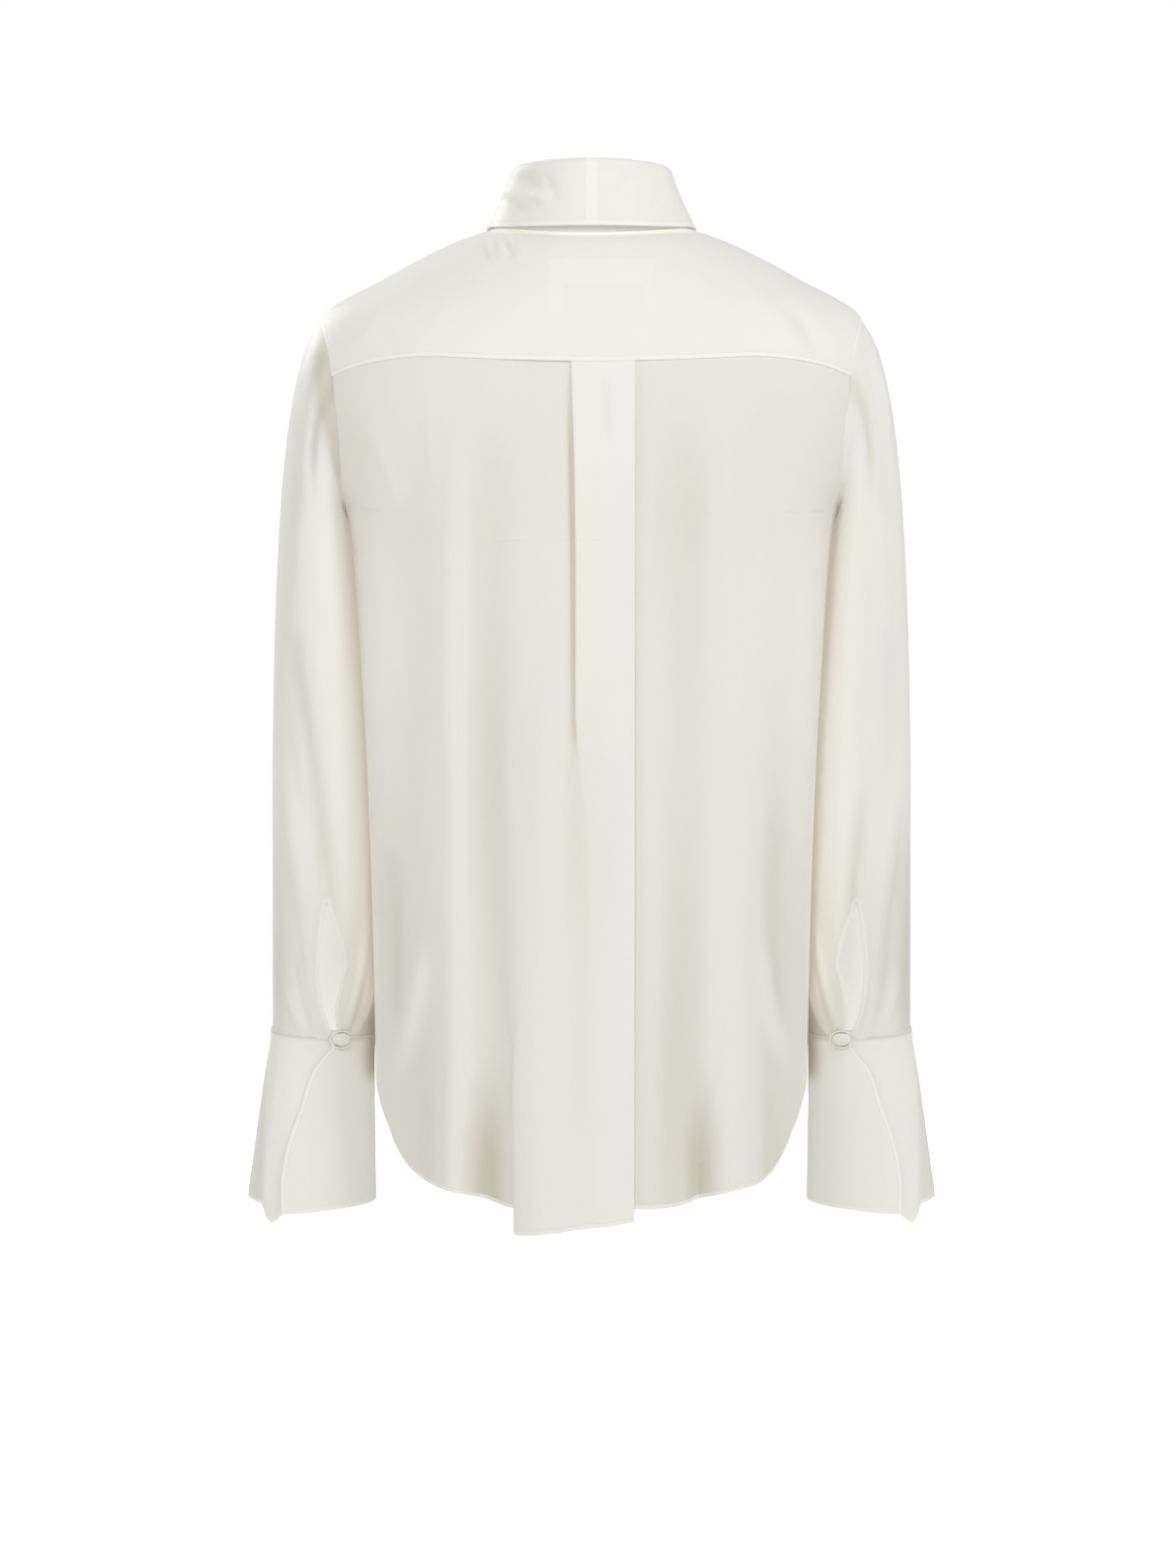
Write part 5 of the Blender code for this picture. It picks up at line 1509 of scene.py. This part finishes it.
def silk_finish(name, colour, weave, seams=(), stitches=(), marks=None, roughness=0.5,
                glow=OUTER_GLOW, through_glow=THROUGH_GLOW):
    """Ivory crepe. seams are strips (edge, width, lift) where folded cloth lies beneath, and
    stitches rows (edge, inset). marks adds masks of its own with their lightness and height, and
    glow is painted glow for the light that comes through the thin cloth."""
    if name in bpy.data.materials:
        return bpy.data.materials[name]
    material, tree, shader = new_finish(name, 0.25, 0.45)
    flat = add_node(tree, "UVMap", uv_map="cloth").outputs[0]
    along = add_node(tree, "SeparateXYZ", {0: flat}).outputs
    here = add_node(tree, "TexCoord").outputs["Object"]
    parts = add_node(tree, "SeparateXYZ", {0: here}).outputs
    threads = use_group(tree, "crepe weave", {"Vector": flat, "Pitch": weave})[0]
    crumple = use_group(tree, "soft crumple", {"Vector": here})
    bright = (*bpy.context.scene.blouse_colours.double_silk, 1.0)
    light = (*(min(1.0, part * 1.05 + 0.012) for part in colour), 1.0)
    dark = toned(colour, DARK_TINT)
    shade = product(tree, ramp(tree, crumple["Tone"], *CRUMPLE_TONES), CRUMPLE_SHADE)
    base = tinted(tree, (*colour, 1.0), shade, dark)
    base = tinted(tree, base, product(tree, threads, THREAD_SHADE), dark)
    height = product(tree, threads, THREAD_DEPTH)
    height = figure(tree, "MULTIPLY_ADD", crumple["Height"], CRUMPLE_DEPTH, height)
    layered, hollow, through = (kept_at(tree, tone) for tone in TONES)
    base = tinted(tree, base, product(tree, layered, DOUBLED_LIGHT), bright)
    # Painted shade: a darker, warmer colour where the tone says a fold lies in or the cloth turns
    # from the light.
    base = tinted(tree, base, hollow, toned(colour, PAINTED_SHADE_TINT))
    raised = []
    for edge, width, lift in seams:
        strip = {"Distance": kept_at(tree, edge), "Width": width}
        raised.append((use_group(tree, "edge strip", strip)[0], DOUBLED_LIGHT, lift))
    for edge, inset in stitches:
        run = along[0] if edge in ("from_top", "from_bottom") else along[1]
        row = {"Distance": kept_at(tree, edge), "Inset": inset, "Along": run}
        raised.append((use_group(tree, "stitch row", row)[0], -STITCH_SHADE, STITCH_DEPTH))
    for mask, lightness, lift in (*raised, *(marks(tree, parts) if marks else ())):
        base = tinted(tree, base, product(tree, mask, abs(lightness)),
                      light if lightness > 0 else dark)
        height = figure(tree, "MULTIPLY_ADD", mask, lift, height)
    link_relief(tree, shader, height, MM)
    tree.links.new(base, shader.inputs["Base Color"])
    tree.links.new(ramp(tree, threads, *THREAD_HEIGHTS, roughness + 0.06, roughness - 0.05),
                   shader.inputs["Roughness"])
    shader.inputs["Specular IOR Level"].default_value = 0.35
    # Painted glow: a faint emission on all the cloth, stronger where the tone says light would come
    # through.
    warm = (1.0, *glow[1:], 1.0)
    glowing = tinted(tree, tuple(part * glow[0] for part in warm), through,
                     tuple(part * through_glow for part in warm))
    tree.links.new(glowing, shader.inputs["Emission Color"])
    shader.inputs["Emission Strength"].default_value = 1.0
    material.cycles.emission_sampling = "NONE"
    return material


def inner_finish(name):
    """The inside of the silk, with glow painted for the light outside that shows through."""
    glow = (INNER_GLOW[name], *INNER_WARMTH)
    return silk_finish(name, INNER_COLOUR, WEAVE_PITCH, glow=glow)


def rolled_finish(name, colour, roughness=0.45):
    """Silk drawn tight over a button or round a cord, in Object coordinates."""
    if name in bpy.data.materials:
        return bpy.data.materials[name]
    material, tree, shader = new_finish(name, 0.2, 0.4)
    here = add_node(tree, "TexCoord").outputs["Object"]
    leaned = add_node(tree, "Mapping", {"Vector": here, "Rotation": DRAWN_LEAN}).outputs[0]
    threads = use_group(tree, "crepe weave", {"Vector": leaned, "Pitch": WEAVE_PITCH})[0]
    shade = product(tree, threads, DRAWN_THREAD_SHADE)
    tree.links.new(tinted(tree, (*colour, 1.0), shade, toned(colour, DRAWN_TINT)),
                   shader.inputs["Base Color"])
    link_relief(tree, shader, threads, DRAWN_THREAD_DEPTH * MM)
    tree.links.new(ramp(tree, threads, *THREAD_HEIGHTS, roughness + 0.05, roughness - 0.05),
                   shader.inputs["Roughness"])
    return material


# ---------------------------------------------------------------- settings

SIDES = (("left", 1), ("right", -1))
# The hem's turn and its stitches: edge, width or inset, and how raised it is.
HEM_SEAM = ("from_bottom", 0.0035, 0.2)
HEM_STITCHES = ("from_bottom", 0.0032)
# The collar's fall lies thicker than other doubled cloth.
FALL_WALLS = 1.3
LABEL_WALL = 0.0004
LABEL_WEAVE = 0.0003

# The stage, in metres.
FLOOR_Z = -1.45
FLOOR_RADIUS = 14.0
ROOM_LIGHT = 0.53
LIGHTS_AIM = (0.0, 0.0, -0.38)
STUDIO_LIGHTS = (
    # name, place, width, power
    ("key light", (-2.4, 2.2, 2.2), 1.4, 32.0),
    ("side light", (3.4, 0.9, 0.6), 1.4, 4.0),
    ("camera light", (0.3, 3.3, 1.2), 2.4, 37.0),
    ("front light", (2.4, -2.8, 1.6), 1.4, 46.0),
    ("front side light", (-3.0, -1.8, 0.8), 1.4, 14.0),
)
CAMERA_PLACE = (0.0026, 4.0, -0.415)
CAMERA_LENS = 123.3


class BlouseSizes(bpy.types.PropertyGroup):
    wall: bpy.props.FloatProperty(
        name="Cloth wall", description="Thickness of a single layer of the silk",
        default=0.0005, min=0.0002, max=0.002, unit="LENGTH")
    double_wall: bpy.props.FloatProperty(
        name="Doubled wall", description="Thickness of the yoke, collar, band and cuffs",
        default=0.0009, min=0.0004, max=0.003, unit="LENGTH")
    fold_strength: bpy.props.FloatProperty(
        name="Folds", description="How strongly the hanging folds stand out",
        default=1.0, min=0.0, max=1.5, subtype="FACTOR")
    weave: bpy.props.FloatProperty(
        name="Weave", description="Spacing of the silk's threads",
        default=WEAVE_PITCH, min=0.0002, max=0.002, precision=5, unit="LENGTH")
    front_button: bpy.props.FloatProperty(
        name="Front buttons", description="Width of a front button",
        default=box_size("front_button_1").x, min=0.006, max=0.02, unit="LENGTH")


class BlouseColours(bpy.types.PropertyGroup):
    silk: bpy.props.FloatVectorProperty(
        name="Silk", description="Colour of a single layer", subtype="COLOR", size=3,
        default=(0.80, 0.79, 0.73), min=0.0, max=1.0)
    double_silk: bpy.props.FloatVectorProperty(
        name="Doubled silk", description="Colour of the yoke, collar, band, bindings and loops",
        subtype="COLOR", size=3, default=(0.825, 0.825, 0.77), min=0.0, max=1.0)
    button: bpy.props.FloatVectorProperty(
        name="Buttons", description="Colour of the covered buttons", subtype="COLOR", size=3,
        default=(0.79, 0.79, 0.765), min=0.0, max=1.0)
    # A lighter copy of the silk for the sleeves and cuffs: the cuffs lie double, and on the sleeves
    # the extra lightness is painted light.
    sleeves: bpy.props.FloatVectorProperty(
        name="Sleeves", subtype="COLOR", size=3,
        description="Colour of the sleeves and cuffs, which lie double in the light",
        default=(0.815, 0.81, 0.755), min=0.0, max=1.0)
    label: bpy.props.FloatVectorProperty(
        name="Label", description="Colour of the blank label", subtype="COLOR", size=3,
        default=(0.86, 0.86, 0.84), min=0.0, max=1.0)


class BLOUSE_OT_back(bpy.types.Operator):
    """The back panel with its box pleat"""
    bl_idname = "blouse.back"
    bl_label = "Back panel"

    def execute(self, context):
        sizes, colours = context.scene.blouse_sizes, context.scene.blouse_colours
        finish = silk_finish("back silk", colours.silk, sizes.weave, [HEM_SEAM], [HEM_STITCHES],
                             marks=pressed_marks)
        points, tones = back_points(sizes.fold_strength)
        sew("back_cloth", "back_panel", points, finish, sizes.wall,
            tones=tones)
        return {"FINISHED"}


class BLOUSE_OT_yoke(bpy.types.Operator):
    """The doubled yoke over both shoulders"""
    bl_idname = "blouse.yoke"
    bl_label = "Yoke"

    def execute(self, context):
        sizes, colours = context.scene.blouse_sizes, context.scene.blouse_colours
        finish = silk_finish("yoke silk", colours.double_silk, sizes.weave,
                             seams=[("from_bottom", 0.0036, 0.25), ("from_top", 0.007, 0.1)],
                             marks=label_marks, through_glow=NECK_GLOW)
        points, tones = yoke_points()
        sew("yoke_cloth", "back_yoke", points, finish, sizes.double_wall, tones=tones)
        return {"FINISHED"}


class BLOUSE_OT_fronts(bpy.types.Operator):
    """The two fronts"""
    bl_idname = "blouse.fronts"
    bl_label = "Fronts"

    def execute(self, context):
        sizes, colours = context.scene.blouse_sizes, context.scene.blouse_colours
        finish = silk_finish("front silk", colours.silk, sizes.weave, [HEM_SEAM], [HEM_STITCHES])
        for (word, side), centre_x in zip(SIDES, (LEFT_FRONT_PAST_X, RIGHT_FRONT_PAST_X)):
            points, tones = front_points(side, centre_x, sizes.fold_strength)
            sew(f"{word}_front_cloth", f"front_{word}", points, finish, sizes.wall,
                tones=tones)
        return {"FINISHED"}


class BLOUSE_OT_band(bpy.types.Operator):
    """The front band with its buttonholes"""
    bl_idname = "blouse.band"
    bl_label = "Front band"

    def execute(self, context):
        sizes, colours = context.scene.blouse_sizes, context.scene.blouse_colours
        finish = silk_finish("band silk", colours.double_silk, sizes.weave,
                             stitches=[("from_left", 0.0026), ("from_right", 0.0026)],
                             marks=buttonhole_marks)
        sew("band_cloth", "front_band", band_points(), finish, sizes.double_wall)
        return {"FINISHED"}


class BLOUSE_OT_front_buttons(bpy.types.Operator):
    """The covered buttons down the front"""
    bl_idname = "blouse.front_buttons"
    bl_label = "Front buttons"

    def execute(self, context):
        sizes, colours = context.scene.blouse_sizes, context.scene.blouse_colours
        finish = rolled_finish("button silk", colours.button)
        radius = sizes.front_button / MM / 2
        for index in range(BUTTON_COUNT):
            z = FIRST_BUTTON_Z - index * BUTTON_PITCH
            level = level_at(-np.pi / 2, z)
            normal = body_normal(-np.pi / 2, level)
            lift = BAND_LIFT + BUTTON_GAP + BUTTON_THICKNESS * 0.4
            node = f"front_button_{index + 1}"
            cover_button(f"{node}_cover", node, finish, body_place(-np.pi / 2, level, lift),
                         (radius, BUTTON_THICKNESS / 2, radius), normal)
        return {"FINISHED"}


class BLOUSE_OT_collar(bpy.types.Operator):
    """The collar's stand and the two halves of its fall"""
    bl_idname = "blouse.collar"
    bl_label = "Collar"

    def execute(self, context):
        sizes, colours = context.scene.blouse_sizes, context.scene.blouse_colours
        stand = silk_finish("stand silk", colours.double_silk, sizes.weave,
                            stitches=[("from_top", 0.0045)])
        sew("stand_cloth", "collar_stand", stand_points(), stand, sizes.double_wall)
        fall = silk_finish("collar silk", colours.double_silk, sizes.weave,
                           seams=[("from_left", 0.0045, 0.0), ("from_bottom", 0.0035, 0.1)])
        for word, side in SIDES:
            sew(f"{word}_fall_cloth", f"collar_fall_{word}", fall_points(side), fall,
                sizes.double_wall * FALL_WALLS)
        return {"FINISHED"}


class BLOUSE_OT_label(bpy.types.Operator):
    """The blank label inside the yoke"""
    bl_idname = "blouse.label"
    bl_label = "Label"

    def execute(self, context):
        colours = context.scene.blouse_colours
        finish = silk_finish("label satin", colours.label, LABEL_WEAVE, roughness=0.4,
                             stitches=[("from_left", 0.0015), ("from_right", 0.0015)])
        sew("label_cloth", "neck_label", label_points(), finish, LABEL_WALL)
        return {"FINISHED"}


class BLOUSE_OT_sleeves(bpy.types.Operator):
    """The sleeves, with the bound slits above the wrists"""
    bl_idname = "blouse.sleeves"
    bl_label = "Sleeves"

    def execute(self, context):
        sizes, colours = context.scene.blouse_sizes, context.scene.blouse_colours
        finish = silk_finish("sleeve silk", colours.sleeves, sizes.weave)
        bound = silk_finish("binding silk", colours.double_silk, sizes.weave)
        for word, side in SIDES:
            points, tones = sleeve_points(side)
            sew(f"{word}_sleeve_cloth", f"sleeve_{word}", points, finish, sizes.wall,
                joined=True, tones=tones, inside="sleeve inside")
            sew(f"{word}_slit_cloth", f"slit_binding_{word}", binding_points(side), bound,
                sizes.wall)
        return {"FINISHED"}


class BLOUSE_OT_cuffs(bpy.types.Operator):
    """The flared cuffs"""
    bl_idname = "blouse.cuffs"
    bl_label = "Cuffs"

    def execute(self, context):
        sizes, colours = context.scene.blouse_sizes, context.scene.blouse_colours
        finish = silk_finish("cuff silk", colours.sleeves, sizes.weave,
                             seams=[("from_left", 0.003, 0.2), ("from_bottom", 0.003, 0.15)])
        for word, side in SIDES:
            points, tones = cuff_points(side)
            sew(f"{word}_cuff_cloth", f"cuff_{word}", points, finish, sizes.double_wall,
                tones=tones)
        return {"FINISHED"}


class BLOUSE_OT_cuff_buttons(bpy.types.Operator):
    """The covered cuff buttons in their cord loops"""
    bl_idname = "blouse.cuff_buttons"
    bl_label = "Cuff buttons"

    def execute(self, context):
        colours = context.scene.blouse_colours
        cover = rolled_finish("button silk", colours.button)
        cord = rolled_finish("loop silk", colours.double_silk)
        foot = cuff_place(CUFF_BUTTON_ANGLE, 0.0, CUFF_BUTTON_STAND + CUFF_BUTTON_HALF[1])
        for word, side in SIDES:
            middle = (side * foot[0], foot[1], CUFF_BUTTON_Z)
            facing = (side * math.cos(CUFF_BUTTON_ANGLE), math.sin(CUFF_BUTTON_ANGLE), 0.0)
            cover_button(f"{word}_cuff_button_cover", f"cuff_button_{word}", cover, middle,
                         CUFF_BUTTON_HALF, facing)
            cord_loop(f"{word}_cuff_cord", f"cuff_loop_{word}", cord, middle, facing,
                      CUFF_BUTTON_HALF)
        return {"FINISHED"}


class BLOUSE_OT_stage(bpy.types.Operator):
    """The pale floor, the soft studio lights and the camera"""
    bl_idname = "blouse.stage"
    bl_label = "Stage"

    def execute(self, context):
        scene = context.scene
        scene.view_settings.view_transform = "Standard"
        shape = bmesh.new()
        bmesh.ops.create_circle(shape, cap_ends=True, segments=96, radius=FLOOR_RADIUS)
        bmesh.ops.translate(shape, vec=(0.0, 0.0, FLOOR_Z), verts=shape.verts)
        floor_finish = bpy.data.materials.new("pale floor")
        floor_finish.use_nodes = True
        tree = floor_finish.node_tree
        shader = tree.nodes["Principled BSDF"]
        shader.inputs["Base Color"].default_value = (0.9, 0.9, 0.9, 1.0)
        shader.inputs["Roughness"].default_value = 0.9
        shader.inputs["Emission Color"].default_value = (1.0, 1.0, 1.0, 1.0)
        tree.links.new(add_node(tree, "LightPath").outputs["Is Camera Ray"],
                       shader.inputs["Emission Strength"])
        link_mesh("floor", shape, floor_finish)

        world = bpy.data.worlds.new("studio")
        world.use_nodes = True
        scene.world = world
        tree = world.node_tree
        seen = add_node(tree, "LightPath").outputs["Is Camera Ray"]
        strength = ramp(tree, seen, 0.0, 1.0, ROOM_LIGHT, 1.0)
        background = tree.nodes["Background"]
        background.inputs["Color"].default_value = (1.0, 1.0, 1.0, 1.0)
        tree.links.new(strength, background.inputs["Strength"])

        for name, place, size, power in STUDIO_LIGHTS:
            light = bpy.data.lights.new(name, "AREA")
            light.shape = "DISK"
            light.size, light.energy = size, power
            lamp = bpy.data.objects.new(name, light)
            lamp.location = place
            aim = Vector(LIGHTS_AIM) - Vector(place)
            lamp.rotation_euler = aim.to_track_quat("-Z", "Y").to_euler()
            scene.collection.objects.link(lamp)

        camera = bpy.data.cameras.new("camera")
        camera.lens, camera.sensor_width = CAMERA_LENS, 36.0
        camera.clip_end = 60.0
        viewer = bpy.data.objects.new("camera", camera)
        viewer.location = CAMERA_PLACE
        viewer.rotation_euler = (math.pi / 2, 0.0, math.pi)
        scene.collection.objects.link(viewer)
        scene.camera = viewer
        return {"FINISHED"}


PIECE_OPERATORS = (BLOUSE_OT_back, BLOUSE_OT_yoke, BLOUSE_OT_fronts, BLOUSE_OT_band,
                   BLOUSE_OT_front_buttons, BLOUSE_OT_collar, BLOUSE_OT_label, BLOUSE_OT_sleeves,
                   BLOUSE_OT_cuffs, BLOUSE_OT_cuff_buttons, BLOUSE_OT_stage)


class BLOUSE_PT_panel(bpy.types.Panel):
    """The blouse's settings and pieces"""
    bl_idname = "BLOUSE_PT_panel"
    bl_label = "Silk blouse"
    bl_space_type = "VIEW_3D"
    bl_region_type = "UI"
    bl_category = "Blouse"

    def draw(self, context):
        for settings in (context.scene.blouse_sizes, context.scene.blouse_colours):
            for name in settings.__annotations__:
                self.layout.prop(settings, name)
        for operator in PIECE_OPERATORS:
            self.layout.operator(operator.bl_idname)


CLASSES = (BlouseSizes, BlouseColours, *PIECE_OPERATORS, BLOUSE_PT_panel)


def register():
    for cls in CLASSES:
        bpy.utils.register_class(cls)
    bpy.types.Scene.blouse_sizes = bpy.props.PointerProperty(type=BlouseSizes)
    bpy.types.Scene.blouse_colours = bpy.props.PointerProperty(type=BlouseColours)


def unregister():
    del bpy.types.Scene.blouse_colours
    del bpy.types.Scene.blouse_sizes
    for cls in reversed(CLASSES):
        bpy.utils.unregister_class(cls)


def main():
    register()
    for operator in PIECE_OPERATORS:
        group, name = operator.bl_idname.split(".")
        getattr(getattr(bpy.ops, group), name)()


if __name__ == "__main__":
    main()
